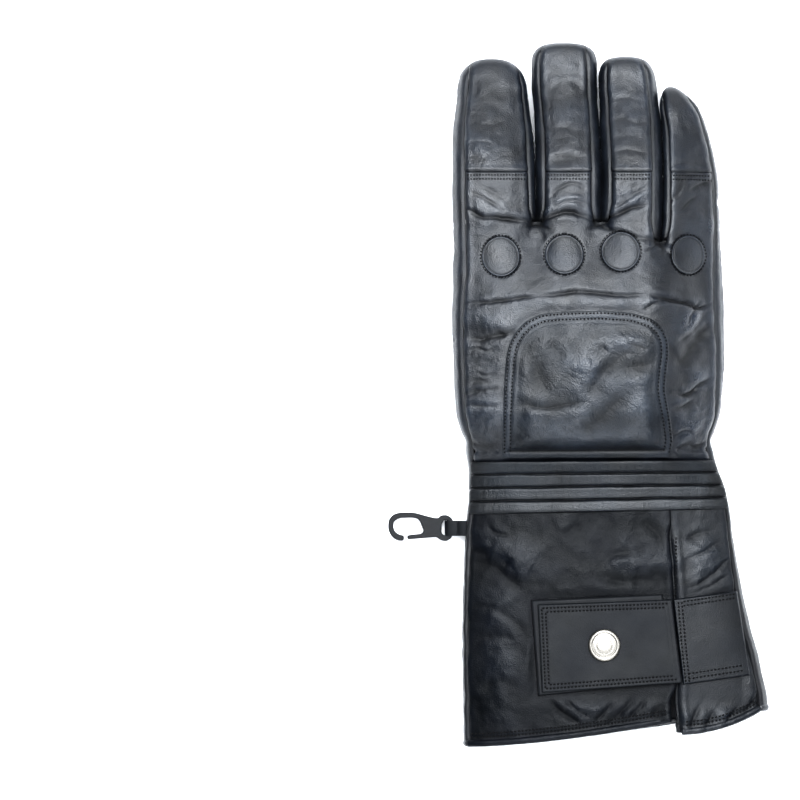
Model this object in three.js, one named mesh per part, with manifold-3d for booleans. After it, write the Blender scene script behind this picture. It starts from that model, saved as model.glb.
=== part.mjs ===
// A right-hand leather gauntlet glove for riding, lying palm down with its thumb folded under.
// Millimetres, +Z up, fingers along +Y, index finger on the -X side.
import * as THREE from "three";
import { mergeVertices } from "three/addons/utils/BufferGeometryUtils.js";
import Module from "manifold-3d";

// Driving sizes
const palmWidth = 122;
const handLength = 120;
const fingerLength = 81;
const cuffLength = 115;
const handThickness = 26;
const fingerThickness = 19;
const cuffThickness = 24;
const thumbThickness = 17;
const wall = 2.2;
const seamGap = 0.3;

// Seams and hems
const fingerSeamShare = 0.275;
const bandTop = 13;
const bandBottom = 11;
const bandTilt = 2.6;
const ribCount = 4;
const ribHeight = 2.6;
const hemRoll = 3.4;
const hemRise = 0.167;
const soleHemRise = 0.139;
const sideHemRise = 0.049;
const slitTopShare = 0.775;
const slitShare = 0.72;
const hemCrown = 0.4;
const hemLip = 0.6;
const hemExtra = 1.2;
const gatherDepth = 1.6;
const gatherReach = 26;
const restFlat = 0.3;

// Fingertips
const indexTipReach = 15.5;
const middleTipReach = 9.5;
const ringTipReach = 9.5;
const littleTipReach = 14.5;
const tipPinch = 0.22;
const sectionPower = 2.5;
const indexTipPower = 2.5;
const middleTipPower = 2.9;
const ringTipPower = 2.9;
const littleTipPower = 2.2;
const trunkTopPower = 2.6;
const trunkSolePower = 4;
const thumbPower = 2.4;
const webLean = 0.75;
const webFade = 7;

// Knuckle discs and pads
const discRadius = 9;
const discHeight = 2.8;
const padHeight = 2.6;
const padWidth = 74;
const padLength = 64;
const padNarrowing = 0.07;
const heelPatchWidth = 23;
const heelPatchLength = 42;

// Strap and snap
const padSeat = 0.8;
const patchThickness = 1.2;
const strapThickness = 2;
const snapRadius = 7.2;
const snapHeight = 3.2;
const snapPlace = { x: 0.057, y: -0.6 };

// Clip and its loop
const hookThickness = 4;
const ringWide = 7.6;
const ringTall = 12;
const ringBar = 2;
const slotWidth = 2.6;
const slotLength = 7.9;
const clipNeck = 8;
const clipLength = 15.8;
const clipTall = 12.6;
const clipRod = 2.7;
const clipMouth = 1.2;
const loopWidth = 7;
const loopThickness = 1.2;
const loopPlace = 0.15;
const ringReach = 9.4;

// How far the folded thumb lifts the hand off the surface
const thumbLift = thumbThickness + 3 * seamGap;

const wasm = await Module();
wasm.setup();

const mix = (a, b, t) => a + (b - a) * t;
const clamp = (v, low, high) => Math.min(high, Math.max(low, v));
const smooth = (a, b, v) => {
  const t = clamp((v - a) / (b - a), 0, 1);
  return t * t * (3 - 2 * t);
};
const root = (v, n) => Math.pow(Math.max(v, 0), 1 / n);
const arch = (share, n) => root(1 - Math.pow(Math.min(Math.abs(share), 1), n), n);

// A value read from a table's column, eased a little at each of its rows
function along(rows, key, at) {
  if (at <= rows[0].at) return rows[0][key];
  for (let i = 1; i < rows.length; i += 1) {
    const a = rows[i - 1];
    const b = rows[i];
    if (at <= b.at) {
      const t = (at - a.at) / (b.at - a.at);
      return mix(a[key], b[key], t * t * (3 - 2 * t) * 0.5 + t * 0.5);
    }
  }
  return rows[rows.length - 1][key];
}

// The hand from the wrist line, at 0, to the finger crotches, at 1, and the cuff from the hem, at -1.
// left, right and the two insets of the top seams are shares of palmWidth, thick of its own thickness.
const trunkRows = [
  { at: -1.0, left: -0.456, right: 0.676, insetLeft: 0.012, insetRight: 0.034, thick: 1.0 },
  { at: -0.8, left: -0.46, right: 0.658, insetLeft: 0.012, insetRight: 0.032, thick: 1.0 },
  { at: -0.42, left: -0.46, right: 0.574, insetLeft: 0.012, insetRight: 0.026, thick: 0.96 },
  { at: -0.2, left: -0.452, right: 0.537, insetLeft: 0.012, insetRight: 0.016, thick: 0.9 },
  { at: 0.0, left: -0.439, right: 0.508, insetLeft: 0.014, insetRight: 0.012, thick: 0.84 },
  { at: 0.1, left: -0.441, right: 0.472, insetLeft: 0.016, insetRight: 0.012, thick: 0.86 },
  { at: 0.17, left: -0.454, right: 0.459, insetLeft: 0.02, insetRight: 0.018, thick: 0.9 },
  { at: 0.28, left: -0.482, right: 0.486, insetLeft: 0.026, insetRight: 0.02, thick: 0.96 },
  { at: 0.42, left: -0.493, right: 0.5, insetLeft: 0.028, insetRight: 0.024, thick: 1.0 },
  { at: 0.64, left: -0.5, right: 0.502, insetLeft: 0.032, insetRight: 0.033, thick: 1.0 },
  { at: 0.82, left: -0.497, right: 0.496, insetLeft: 0.04, insetRight: 0.033, thick: 0.95 },
  { at: 1.0, left: -0.496, right: 0.485, insetLeft: 0.039, insetRight: 0.02, thick: 0.84 },
];

// Each finger from its crotch, at 0, to its tip, at 1: left and right sides as shares of palmWidth.
// length is a share of fingerLength, seamLeft and seamRight are shares of the finger's half width.
const fingers = [
  {
    name: "index", length: 0.912, tipReach: indexTipReach, seamLeft: 0.74, seamRight: 0.88,
    tipPower: indexTipPower,
    rows: [
      { at: -0.2, left: -0.496, right: -0.196 },
      { at: 0.28, left: -0.5, right: -0.199 },
      { at: 0.58, left: -0.496, right: -0.207 },
      { at: 0.76, left: -0.484, right: -0.221 },
      { at: 1.0, left: -0.478, right: -0.232 },
    ],
  },
  {
    name: "middle", length: 1, tipReach: middleTipReach, seamLeft: 0.79, seamRight: 0.74,
    tipPower: middleTipPower,
    rows: [
      { at: -0.2, left: -0.191, right: 0.04 },
      { at: 0.29, left: -0.193, right: 0.046 },
      { at: 0.57, left: -0.196, right: 0.039 },
      { at: 0.79, left: -0.208, right: 0.0345 },
      { at: 1.0, left: -0.206, right: 0.031 },
    ],
  },
  {
    name: "ring", length: 0.923, tipReach: ringTipReach, seamLeft: 0.77, seamRight: 0.7,
    tipPower: ringTipPower,
    rows: [
      { at: -0.2, left: 0.045, right: 0.263 },
      { at: 0.3, left: 0.051, right: 0.269 },
      { at: 0.62, left: 0.0445, right: 0.265 },
      { at: 0.86, left: 0.0395, right: 0.25 },
      { at: 1.0, left: 0.041, right: 0.236 },
    ],
  },
  {
    name: "little", length: 0.757, tipReach: littleTipReach, seamLeft: 0.84, seamRight: 0.82,
    tipPower: littleTipPower,
    rows: [
      { at: -0.2, left: 0.269, right: 0.488 },
      { at: 0.38, left: 0.275, right: 0.476 },
      { at: 0.7, left: 0.27, right: 0.438 },
      { at: 0.88, left: 0.258, right: 0.4 },
      { at: 1.0, left: 0.248, right: 0.362 },
    ],
  },
];

// Where the fork between two fingers lies, as a share of handLength
const forkShares = [1.0, 1.0, 0.925];
const blendShare = 0.72;

// Rows of the hand's panels from the wrist line to the crotches, shares of handLength
const handRows = [
  0, 0.036, 0.072, 0.11, 0.17, 0.24, 0.32, 0.42, 0.53, 0.63, 0.73, 0.8, 0.86, forkShares[2], 1,
];

// Folds and dents of the back: from and to as shares of palmWidth and handLength, width and depth
// of handThickness. A negative depth is a swelling.
const foldRows = [
  { x1: -0.46, y1: 1.04, x2: -0.3, y2: 1.0, width: 0.13, depth: 0.05 },
  { x1: -0.3, y1: 1.0, x2: 0.0, y2: 1.0, width: 0.13, depth: 0.05 },
  { x1: 0.02, y1: 1.0, x2: 0.2, y2: 1.05, width: 0.13, depth: 0.05 },
  { x1: -0.47, y1: 0.7, x2: -0.1, y2: 0.74, width: 0.12, depth: 0.06 },
  { x1: -0.1, y1: 0.74, x2: 0.23, y2: 0.73, width: 0.12, depth: 0.06 },
  { x1: 0.23, y1: 0.73, x2: 0.46, y2: 0.68, width: 0.12, depth: 0.06 },
  { x1: -0.45, y1: 0.6, x2: -0.3, y2: 0.61, width: 0.12, depth: 0.07 },
  { x1: 0.29, y1: 0.46, x2: 0.45, y2: 0.62, width: 0.14, depth: 0.07 },
  { x1: -0.44, y1: 0.4, x2: -0.34, y2: 0.36, width: 0.12, depth: 0.05 },
  { x1: -0.43, y1: -0.27, x2: -0.24, y2: -0.4, width: 0.16, depth: 0.08 },
  { x1: 0.37, y1: -0.36, x2: 0.5, y2: -0.28, width: 0.16, depth: 0.06 },
  { x1: -0.16, y1: -0.76, x2: -0.06, y2: -0.88, width: 0.16, depth: 0.06 },
  { x1: 0.06, y1: -0.86, x2: 0.2, y2: -0.77, width: 0.16, depth: 0.06 },
];

// The thumb from its base, at 0, to its tip, at 1. y is a share of handLength, left and right are
// shares of palmWidth, lip is how high its left edge stands and full how thick it is, as shares of
// the room under the palm. From its left edge to the share called open it opens into the hand.
const thumbRows = [
  { at: 0.0, y: 0.14, left: -0.15, right: -0.08, lip: 1, full: 0.6, open: 0.5 },
  { at: 0.08, y: 0.19, left: -0.215, right: -0.035, lip: 1, full: 0.85, open: 0.55 },
  { at: 0.17, y: 0.27, left: -0.275, right: -0.005, lip: 1, full: 1, open: 0.6 },
  { at: 0.29, y: 0.4, left: -0.33, right: 0.03, lip: 1, full: 1, open: 0.58 },
  { at: 0.42, y: 0.53, left: -0.362, right: 0.065, lip: 1, full: 1, open: 0.42 },
  { at: 0.52, y: 0.62, left: -0.372, right: 0.094, lip: 0.94, full: 1, open: 0.18 },
  { at: 0.64, y: 0.76, left: -0.29, right: 0.15, lip: 0.7, full: 1, open: 0 },
  { at: 0.74, y: 0.88, left: -0.225, right: 0.18, lip: 0.52, full: 1, open: 0 },
  { at: 0.85, y: 1.01, left: -0.15, right: 0.204, lip: 0.5, full: 1, open: 0 },
  { at: 0.93, y: 1.1, left: -0.08, right: 0.19, lip: 0.5, full: 0.86, open: 0 },
  { at: 0.98, y: 1.155, left: -0.02, right: 0.14, lip: 0.5, full: 0.6, open: 0 },
  { at: 1.0, y: 1.175, left: 0.03, right: 0.09, lip: 0.5, full: 0.3, open: 0 },
];

// Seam lines that part the two fork panels from the palm and from the thumb
const palmForkLine = [
  { x: -0.345, y: 0.6 }, { x: -0.352, y: 0.72 }, { x: -0.345, y: 0.84 }, { x: -0.31, y: 0.885 },
  { x: -0.24, y: 0.89 }, { x: -0.15, y: 0.88 }, { x: -0.2, y: 0.74 }, { x: -0.28, y: 0.64 },
];
const thumbForkLine = [
  { x: -0.5, y: 0.6 }, { x: -0.34, y: 0.6 }, { x: -0.2, y: 0.71 }, { x: -0.09, y: 0.83 },
  { x: -0.08, y: 0.9 }, { x: -0.1, y: 0.98 }, { x: -0.16, y: 1.06 }, { x: -0.5, y: 1.06 },
];

const lateral = (share) => share * palmWidth;
const forward = (share) => share * handLength;

// The outline of hand and cuff at one y
function trunk(y) {
  const at = y >= 0 ? y / handLength : y / cuffLength;
  const width = { left: 0, right: 0, insetLeft: 0, insetRight: 0 };
  for (const key of Object.keys(width)) width[key] = lateral(along(trunkRows, key, at));
  const full = mix(cuffThickness, handThickness, smooth(-0.2, 0.2, at));
  return { ...width, half: (along(trunkRows, "thick", at) * full) / 2 };
}

const tipY = (f) => handLength + fingers[f].length * fingerLength;
const forkY = (g) => forkShares[g] * handLength;
const tipStart = (f) => tipY(f) - fingers[f].tipReach;
const tipShare = (f, y) => clamp((y - tipStart(f)) / fingers[f].tipReach, 0, 1);

// Middle, half width and half thickness of a finger at one y, before its tip rounds it off
function fingerAt(f, y) {
  const finger = fingers[f];
  const at = (y - handLength) / (finger.length * fingerLength);
  const left = lateral(along(finger.rows, "left", at));
  const right = lateral(along(finger.rows, "right", at));
  const half = (fingerThickness / 2) * mix(1.02, 0.9, clamp(at, 0, 1));
  return { mid: (left + right) / 2, wide: (right - left) / 2, half };
}

// Place of a finger's seam across it, as a share of the half width, and the seam's x
function seamShare(f, side, y) {
  const base = side < 0 ? -fingers[f].seamLeft : fingers[f].seamRight;
  return base * (1 - tipPinch * Math.pow(tipShare(f, y), 2));
}
function seamX(f, side, y) {
  const at = fingerAt(f, y);
  return at.mid + seamShare(f, side, y) * at.wide;
}

// How far the folded thumb lifts the hand at one place
function lift(x, y) {
  const heel = smooth(forward(-0.02), forward(0.3), y);
  const tip = 1 - smooth(forward(1.14), handLength + fingerLength * 0.86, y);
  const outer = 1 - smooth(lateral(0.215), lateral(0.5), x);
  return thumbLift * heel * tip * outer;
}

// Folds of the back at one place: none under the back pad, which keeps the leather taut
const padCentre = { x: lateral(-0.008), y: forward(0.4) };
function relief(x, y) {
  const padShare = Math.hypot((2 * (x - padCentre.x)) / padWidth, (2 * (y - padCentre.y)) / padLength);
  const reach = y >= 0 ? handLength : cuffLength;
  let sum = 0;
  for (const row of foldRows) {
    const ax = lateral(row.x1);
    const ay = row.y1 * reach;
    const bx = lateral(row.x2) - ax;
    const by = row.y2 * reach - ay;
    if (Math.sign(row.y1) !== Math.sign(y)) continue;
    const t = clamp(((x - ax) * bx + (y - ay) * by) / (bx * bx + by * by), 0, 1);
    const distance = Math.hypot(x - ax - t * bx, y - ay - t * by) / (row.width * handThickness);
    sum -= row.depth * handThickness * Math.exp(-distance * distance);
  }
  return sum * smooth(1.0, 1.35, padShare);
}

// Outer skin at one place: height z and the direction in which its wall thickens inwards.
// side is 1 for the back and -1 for the palm, f names a finger above the forks.
function skin(x, y, side, f) {
  const t = trunk(y);
  const mid = (t.left + t.right) / 2;
  const share = clamp((x - mid) / ((t.right - t.left) / 2), -1, 1);
  const rise = arch(share, side > 0 ? trunkTopPower : trunkSolePower);
  const whole = { z: t.half * (1 + side * rise), sx: share, sy: 0, sz: side * rise };
  const weight = smooth(forward(blendShare), handLength, y);
  if (weight <= 0) return dress(whole, x, y, side);
  const one = f === undefined ? fingerOrFork(x, y, side) : fingerSkin(f, x, y, side);
  const blended = {};
  for (const key of ["z", "sx", "sy", "sz"]) blended[key] = mix(whole[key], one[key], weight);
  blended.sy = one.sy;
  return dress(blended, x, y, side);
}
function dress(place, x, y, side) {
  const z = side > 0 ? place.z + relief(x, y) : Math.max(place.z - restFlat, 0);
  return { ...place, z };
}
// Gathers of the palm side at the wrist line: every other column stands back from the surface
function gather(column, y) {
  return column % 2 === 0 ? 0 : gatherDepth * (1 - smooth(0, gatherReach, Math.abs(y)));
}
function fingerSkin(f, x, y, side) {
  const at = fingerAt(f, y);
  const share = clamp((x - at.mid) / at.wide, -1, 1);
  const tau = tipShare(f, y);
  const k = arch(tau, fingers[f].tipPower);
  const rise = root(Math.pow(k, sectionPower) - Math.pow(Math.abs(share), sectionPower), sectionPower);
  const high = Math.max(at.half * rise, seamGap / 2);
  return { z: at.half + side * high, sx: share, sy: tau, sz: side * rise };
}
function fingerOrFork(x, y, side) {
  for (let g = 0; g < 3; g += 1) {
    const a = seamX(g, 1, y);
    const b = seamX(g + 1, -1, y);
    if (x <= a) return fingerSkin(g, x, y, side);
    if (x < b) {
      const p = fingerSkin(g, a, y, side);
      const q = fingerSkin(g + 1, b, y, side);
      const t = (x - a) / (b - a);
      const web = webLean * (1 - smooth(0, webFade, forkY(g) - y));
      return { z: mix(p.z, q.z, t), sx: mix(p.sx, q.sx, t), sy: web, sz: mix(p.sz, q.sz, t) };
    }
  }
  return fingerSkin(3, x, y, side);
}

const point = (x, y, place) => ({ x, y, z: place.z, sx: place.sx, sy: place.sy, sz: place.sz });

// One closed solid from places with inward directions and the quads between them
function sheetSolid(places, quads, thickness = wall) {
  const vertices = [];
  const push = (p, depth) => {
    const x = p.x - depth * p.sx;
    const y = p.y - depth * p.sy;
    vertices.push(x, y, p.z - depth * p.sz + (p.loose ? 0 : lift(x, y)));
  };
  for (const p of places) push(p, 0);
  for (const p of places) push(p, thickness);
  const count = places.length;
  const triangles = [];
  const edges = new Map();
  const at = (i) => new THREE.Vector3(vertices[3 * i], vertices[3 * i + 1], vertices[3 * i + 2]);
  const addEdge = (a, b) => {
    const back = `${b},${a}`;
    if (edges.has(back)) edges.delete(back);
    else edges.set(`${a},${b}`, [a, b]);
  };
  for (const quad of quads) {
    const ring = quad.filter((v, i) => v !== quad[(i + 1) % quad.length]);
    if (ring.length < 3) continue;
    for (let i = 0; i < ring.length; i += 1) addEdge(ring[i], ring[(i + 1) % ring.length]);
    let faces = [[ring[0], ring[1], ring[2]]];
    if (ring.length === 4) {
      const flip = at(ring[0]).distanceTo(at(ring[2])) > at(ring[1]).distanceTo(at(ring[3]));
      faces = flip
        ? [[ring[0], ring[1], ring[3]], [ring[1], ring[2], ring[3]]]
        : [[ring[0], ring[1], ring[2]], [ring[0], ring[2], ring[3]]];
    }
    for (const [a, b, c] of faces) {
      triangles.push(a, b, c);
      triangles.push(a + count, c + count, b + count);
    }
  }
  for (const [a, b] of edges.values()) {
    triangles.push(b, a, a + count);
    triangles.push(b, a + count, b + count);
  }
  return closedGeometry(vertices, triangles);
}

// A geometry whose faces point out, whichever way its triangles were wound
function closedGeometry(vertices, triangles) {
  let volume = 0;
  const v = (i) => new THREE.Vector3(vertices[3 * i], vertices[3 * i + 1], vertices[3 * i + 2]);
  for (let i = 0; i < triangles.length; i += 3) {
    volume += v(triangles[i]).dot(v(triangles[i + 1]).cross(v(triangles[i + 2])));
  }
  if (volume < 0) {
    for (let i = 0; i < triangles.length; i += 3) {
      [triangles[i + 1], triangles[i + 2]] = [triangles[i + 2], triangles[i + 1]];
    }
  }
  const geometry = new THREE.BufferGeometry();
  geometry.setAttribute("position", new THREE.Float32BufferAttribute(vertices, 3));
  geometry.setIndex(triangles);
  return geometry;
}

function toSolid(geometry) {
  geometry.deleteAttribute("normal");
  geometry.deleteAttribute("uv");
  const merged = mergeVertices(geometry, 1e-4);
  const mesh = new wasm.Mesh({
    numProp: 3,
    vertProperties: new Float32Array(merged.attributes.position.array),
    triVerts: new Uint32Array(merged.index.array),
  });
  return new wasm.Manifold(mesh);
}
function toGeometry(solid) {
  const mesh = solid.getMesh();
  const geometry = new THREE.BufferGeometry();
  geometry.setAttribute("position", new THREE.Float32BufferAttribute(mesh.vertProperties, 3));
  geometry.setIndex(new THREE.Uint32BufferAttribute(mesh.triVerts, 1));
  return geometry;
}

// An upright prism over a closed line of table points, moved out by grow
function prism(line, grow = 0) {
  const corners = line.map((p) => new THREE.Vector2(lateral(p.x), forward(p.y)));
  if (THREE.ShapeUtils.area(corners) < 0) corners.reverse();
  const moved = corners.map((p, i) => {
    const before = corners[(i + corners.length - 1) % corners.length];
    const after = corners[(i + 1) % corners.length];
    const d = new THREE.Vector2(after.x - before.x, after.y - before.y).normalize();
    return new THREE.Vector2(p.x + d.y * grow, p.y - d.x * grow);
  });
  const tall = 3 * handThickness;
  const block = new THREE.ExtrudeGeometry(new THREE.Shape(moved), { depth: 2 * tall, bevelEnabled: false });
  block.translate(0, 0, -tall);
  return toSolid(block);
}

// A grid of places as a solid
function gridSolid(rows, columns, place, thickness = wall) {
  const places = [];
  const quads = [];
  for (let j = 0; j < rows; j += 1) {
    for (let i = 0; i < columns; i += 1) places.push(place(j / (rows - 1), i / (columns - 1), j, i));
  }
  for (let j = 0; j < rows - 1; j += 1) {
    for (let i = 0; i < columns - 1; i += 1) {
      const a = j * columns + i;
      quads.push([a, a + 1, a + columns + 1, a + columns]);
    }
  }
  return sheetSolid(places, quads, thickness);
}

const group = new THREE.Group();
const nappa = new THREE.MeshStandardMaterial({ color: 0x2b2d31, roughness: 0.5, metalness: 0 });
const padded = new THREE.MeshStandardMaterial({ color: 0x303338, roughness: 0.45, metalness: 0 });
const nickel = new THREE.MeshStandardMaterial({ color: 0xc9ccd0, roughness: 0.25, metalness: 1 });
const plastic = new THREE.MeshStandardMaterial({ color: 0x131417, roughness: 0.4, metalness: 0 });
function add(name, geometry, material = nappa) {
  const mesh = new THREE.Mesh(geometry, material);
  mesh.name = name;
  group.add(mesh);
}

// Where a column of a finger's grid ends over the tip: there the section has closed to the column
function columnEnd(f, across) {
  let low = tipStart(f);
  let high = tipY(f);
  for (let i = 0; i < 30; i += 1) {
    const y = (low + high) / 2;
    const share = across * Math.abs(seamShare(f, across < 0 ? -1 : 1, y));
    if (arch(tipShare(f, y), fingers[f].tipPower) > Math.abs(share)) low = y;
    else high = y;
  }
  return (low + high) / 2;
}
function columnX(f, across, y) {
  const at = fingerAt(f, y);
  return at.mid + across * Math.abs(seamShare(f, across < 0 ? -1 : 1, y)) * at.wide;
}

// Rows of a finger's panels: two up to its seam, two up to where the tip starts, and the last ones
// crowding where the skin turns down over the tip
const seamRow = 2;
const straightRows = 4;
const tipRows = 4;
const fingerRows = straightRows + tipRows;
const fingerSeamY = () => handLength + fingerLength * fingerSeamShare;
function fingerRowY(f, across, row) {
  if (row <= seamRow) return mix(handLength, fingerSeamY(), row / seamRow);
  if (row <= straightRows) {
    return mix(fingerSeamY(), tipStart(f), (row - seamRow) / (straightRows - seamRow));
  }
  const turn = ((row - straightRows) / tipRows) * (Math.PI / 2);
  return mix(tipStart(f), columnEnd(f, across), Math.sin(turn));
}
function fingerTop(f) {
  return gridSolid(fingerRows - seamRow + 1, 6, (row, column, j) => {
    const across = mix(-1, 1, column);
    const y = fingerRowY(f, across, j + seamRow) + (j === 0 ? seamGap / 2 : 0);
    const x = columnX(f, across, y);
    return point(x, y, skin(x, y, 1, f));
  });
}

// Side walls: from the back's seam to the palm's, standing out to the glove's outline between them
function wallPlace(top, sole, reach, out, down) {
  const bow = 1 - Math.pow(2 * down - 1, 2);
  const sx = mix(top.sx, sole.sx, down);
  return {
    x: mix(top.x, sole.x, down) + out * reach * bow,
    y: top.y,
    z: mix(top.z, sole.z, down),
    sx: mix(sx, out, bow),
    sy: mix(top.sy, sole.sy, down),
    sz: mix(top.sz, sole.sz, down),
  };
}
function narrowed(top, sole, down) {
  const edge = clamp(seamGap / Math.max(top.z - sole.z, 0.01), 0, 0.4);
  return mix(edge, 1 - edge, down);
}
function fingerWall(f, side, y, down) {
  const x = seamX(f, side, y);
  const top = point(x, y, skin(x, y, 1, f));
  const sole = point(x, y, skin(x, y, -1, f));
  const at = fingerAt(f, y);
  const outline = at.mid + side * at.wide * arch(tipShare(f, y), fingers[f].tipPower);
  return wallPlace(top, sole, Math.abs(outline - x), side, narrowed(top, sole, down));
}
const wallRows = fingerRows - 1;
function fourchette(g) {
  const path = [];
  for (let row = wallRows; row >= 0; row -= 1) {
    const y = fingerRowY(g, 1, row);
    if (y > forkY(g) + 1) path.push((d) => fingerWall(g, 1, y, d));
  }
  for (const turn of [0, 0.5, 1]) {
    path.push((d) => {
      const bow = 1 - Math.pow(2 * d - 1, 2);
      const a = fingerWall(g, 1, forkY(g), d);
      const b = fingerWall(g + 1, -1, forkY(g), d);
      const place = {};
      for (const key of Object.keys(a)) place[key] = mix(a[key], b[key], turn);
      return { ...place, sy: mix(webLean, 1, bow) };
    });
  }
  for (let row = 0; row <= wallRows; row += 1) {
    const y = fingerRowY(g + 1, -1, row);
    if (y > forkY(g) + 1) path.push((d) => fingerWall(g + 1, -1, y, d));
  }
  return gridSolid(path.length, 3, (row, column, j) => path[j](column));
}

// Outer sides of the hand, from the wrist band to the tip of the index or little finger
function outerSeamX(side, y) {
  const t = trunk(y);
  const f = side < 0 ? 0 : 3;
  const own = side < 0 ? t.left + t.insetLeft : t.right - t.insetRight;
  return mix(own, seamX(f, side, y), smooth(forward(blendShare), handLength, y));
}
function outerWall(side, y, down) {
  const f = side < 0 ? 0 : 3;
  if (y >= handLength) return fingerWall(f, side, y, down);
  const x = outerSeamX(side, y);
  const top = point(x, y, skin(x, y, 1, f));
  const sole = point(x, y, skin(x, y, -1, f));
  const t = trunk(y);
  const outline = side < 0 ? t.left : t.right;
  return wallPlace(top, sole, Math.abs(outline - x), side, narrowed(top, sole, down));
}
function handSide(side) {
  const f = side < 0 ? 0 : 3;
  const count = handRows.length;
  return gridSolid(count + wallRows, 4, (row, column, j) => {
    const first = j === 0 ? seamGap / 2 : 0;
    const y = j < count ? forward(handRows[j]) + first : fingerRowY(f, side, j - count + 1);
    return outerWall(side, y, column);
  });
}

// Columns across the hand: four strips, one for each finger, and a web over each fork
const stripColumns = 4;
const webColumns = 2;
const columns = [];
for (let f = 0; f < 4; f += 1) {
  for (let i = 0; i <= stripColumns; i += 1) columns.push({ strip: f, across: mix(-1, 1, i / stripColumns) });
  if (f < 3) {
    for (let i = 1; i < webColumns; i += 1) columns.push({ web: f, across: i / webColumns });
  }
}
function handX(column, y) {
  const at = (c, h) => {
    if (c.web === undefined) return columnX(c.strip, c.across, h);
    return mix(seamX(c.web, 1, h), seamX(c.web + 1, -1, h), c.across);
  };
  const low = forward(blendShare);
  if (y >= handLength) return at(column, y);
  const left = at(columns[0], handLength);
  const right = at(columns[columns.length - 1], handLength);
  const share = (at(column, handLength) - left) / (right - left);
  const spread = mix(outerSeamX(-1, y), outerSeamX(1, y), share);
  return y <= low ? spread : mix(spread, at(column, y), smooth(low, forward(forkShares[2]), y));
}

// The back of the hand or the palm: the hand's rows, then a tongue or a whole underside for each finger
function handPanel(side) {
  const start = side > 0 ? bandTop : 0;
  const rows = handRows.filter((share) => forward(share) > start + 1);
  const upper = side > 0 ? seamRow : fingerRows;
  const places = [];
  const index = [];
  const put = (place) => places.push(place) - 1;
  const nearFork = (c, y) => {
    for (let g = 0; g < 3; g += 1) {
      const edge = c.strip === g && c.across === 1;
      const nextEdge = c.strip === g + 1 && c.across === -1;
      if (Math.abs(y - forkY(g)) < 1e-6 && (edge || nextEdge || c.web === g)) return true;
    }
    return false;
  };
  const handPlace = (c, y, i) => {
    const x = handX(c, y);
    const own = c.strip !== undefined && y > forward(0.9) ? c.strip : undefined;
    const place = skin(x, y, side, own);
    const z = place.z + (side > 0 ? 0 : gather(i, y));
    return put({ ...point(x, y, place), z, sy: nearFork(c, y) ? webLean : place.sy });
  };
  const startY = (c) => (side > 0 ? bandEdge(handX(c, bandTop), 0) : 0) + seamGap / 2;
  index.push(columns.map((c, i) => handPlace(c, startY(c), i)));
  for (const share of rows) index.push(columns.map((c, i) => handPlace(c, forward(share), i)));
  for (let j = 1; j <= upper; j += 1) {
    index.push(columns.map((c) => {
      if (c.web !== undefined) return -1;
      const last = side > 0 && j === upper ? seamGap / 2 : 0;
      const y = fingerRowY(c.strip, c.across, j) - last;
      const x = columnX(c.strip, c.across, y);
      return put(point(x, y, skin(x, y, side, c.strip)));
    }));
  }
  const quads = [];
  for (let j = 0; j < index.length - 1; j += 1) {
    const top = j < rows.length ? forward(rows[j]) : Infinity;
    for (let i = 0; i < columns.length - 1; i += 1) {
      const a = columns[i];
      const b = columns[i + 1];
      const web = a.web ?? b.web ?? (a.strip !== b.strip ? a.strip : -1);
      if (web >= 0 && top > forkY(web) + 1e-6) continue;
      const corners = [index[j][i], index[j][i + 1], index[j + 1][i + 1], index[j + 1][i]];
      quads.push(side > 0 ? corners : corners.reverse());
    }
  }
  return sheetSolid(places, quads);
}

// The wrist band's four seams run a little uphill towards the little finger
function bandEdge(x, share) {
  const t = trunk(0);
  const tilt = bandTilt * clamp((x - t.left) / (t.right - t.left), 0, 1);
  return mix(bandTop, -bandBottom, share) + tilt * mix(0.3, 1, share);
}
function wristRibs() {
  const perRib = 4;
  const rows = ribCount * perRib + 1;
  return gridSolid(rows, 12, (row, column) => {
    const guess = mix(outerSeamX(-1, 0), outerSeamX(1, 0), column);
    const inset = row === 0 ? seamGap / 2 : row === 1 ? -seamGap / 2 : 0;
    const y = bandEdge(guess, row) - inset;
    const x = mix(outerSeamX(-1, y), outerSeamX(1, y), column);
    const place = point(x, y, skin(x, y, 1));
    const swell = ribHeight * Math.abs(Math.sin(row * ribCount * Math.PI)) * arch(mix(-1, 1, column), 8);
    return { ...place, z: place.z + swell, sz: place.sz * (1 + swell / wall) };
  });
}

// Cuff panels: rows run from the wrist band down to the slanted hem
// The hem rises across the cuff: part -1 is the back, 1 the gusset beside the slit, 0 the underside
function hemShare(across, part) {
  const t = clamp((across - slitShare) / (1 - slitShare), 0, 1);
  if (part > 0) return 1 - mix(sideHemRise, soleHemRise, t * t);
  return 1 - (part < 0 ? hemRise : soleHemRise) * Math.pow(clamp(across, 0, 1), 1.5);
}
const hemY = (across, part) => -cuffLength * hemShare(across, part);
function cuffPlace(y, across, side, extra = 0) {
  const x = mix(outerSeamX(-1, y), outerSeamX(1, y), across);
  const place = point(x, y, skin(x, y, side));
  return { ...place, x: place.x + extra * place.sx, z: place.z + extra * place.sz };
}
const slitHalf = () => seamGap / 2 / palmWidth;
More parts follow.
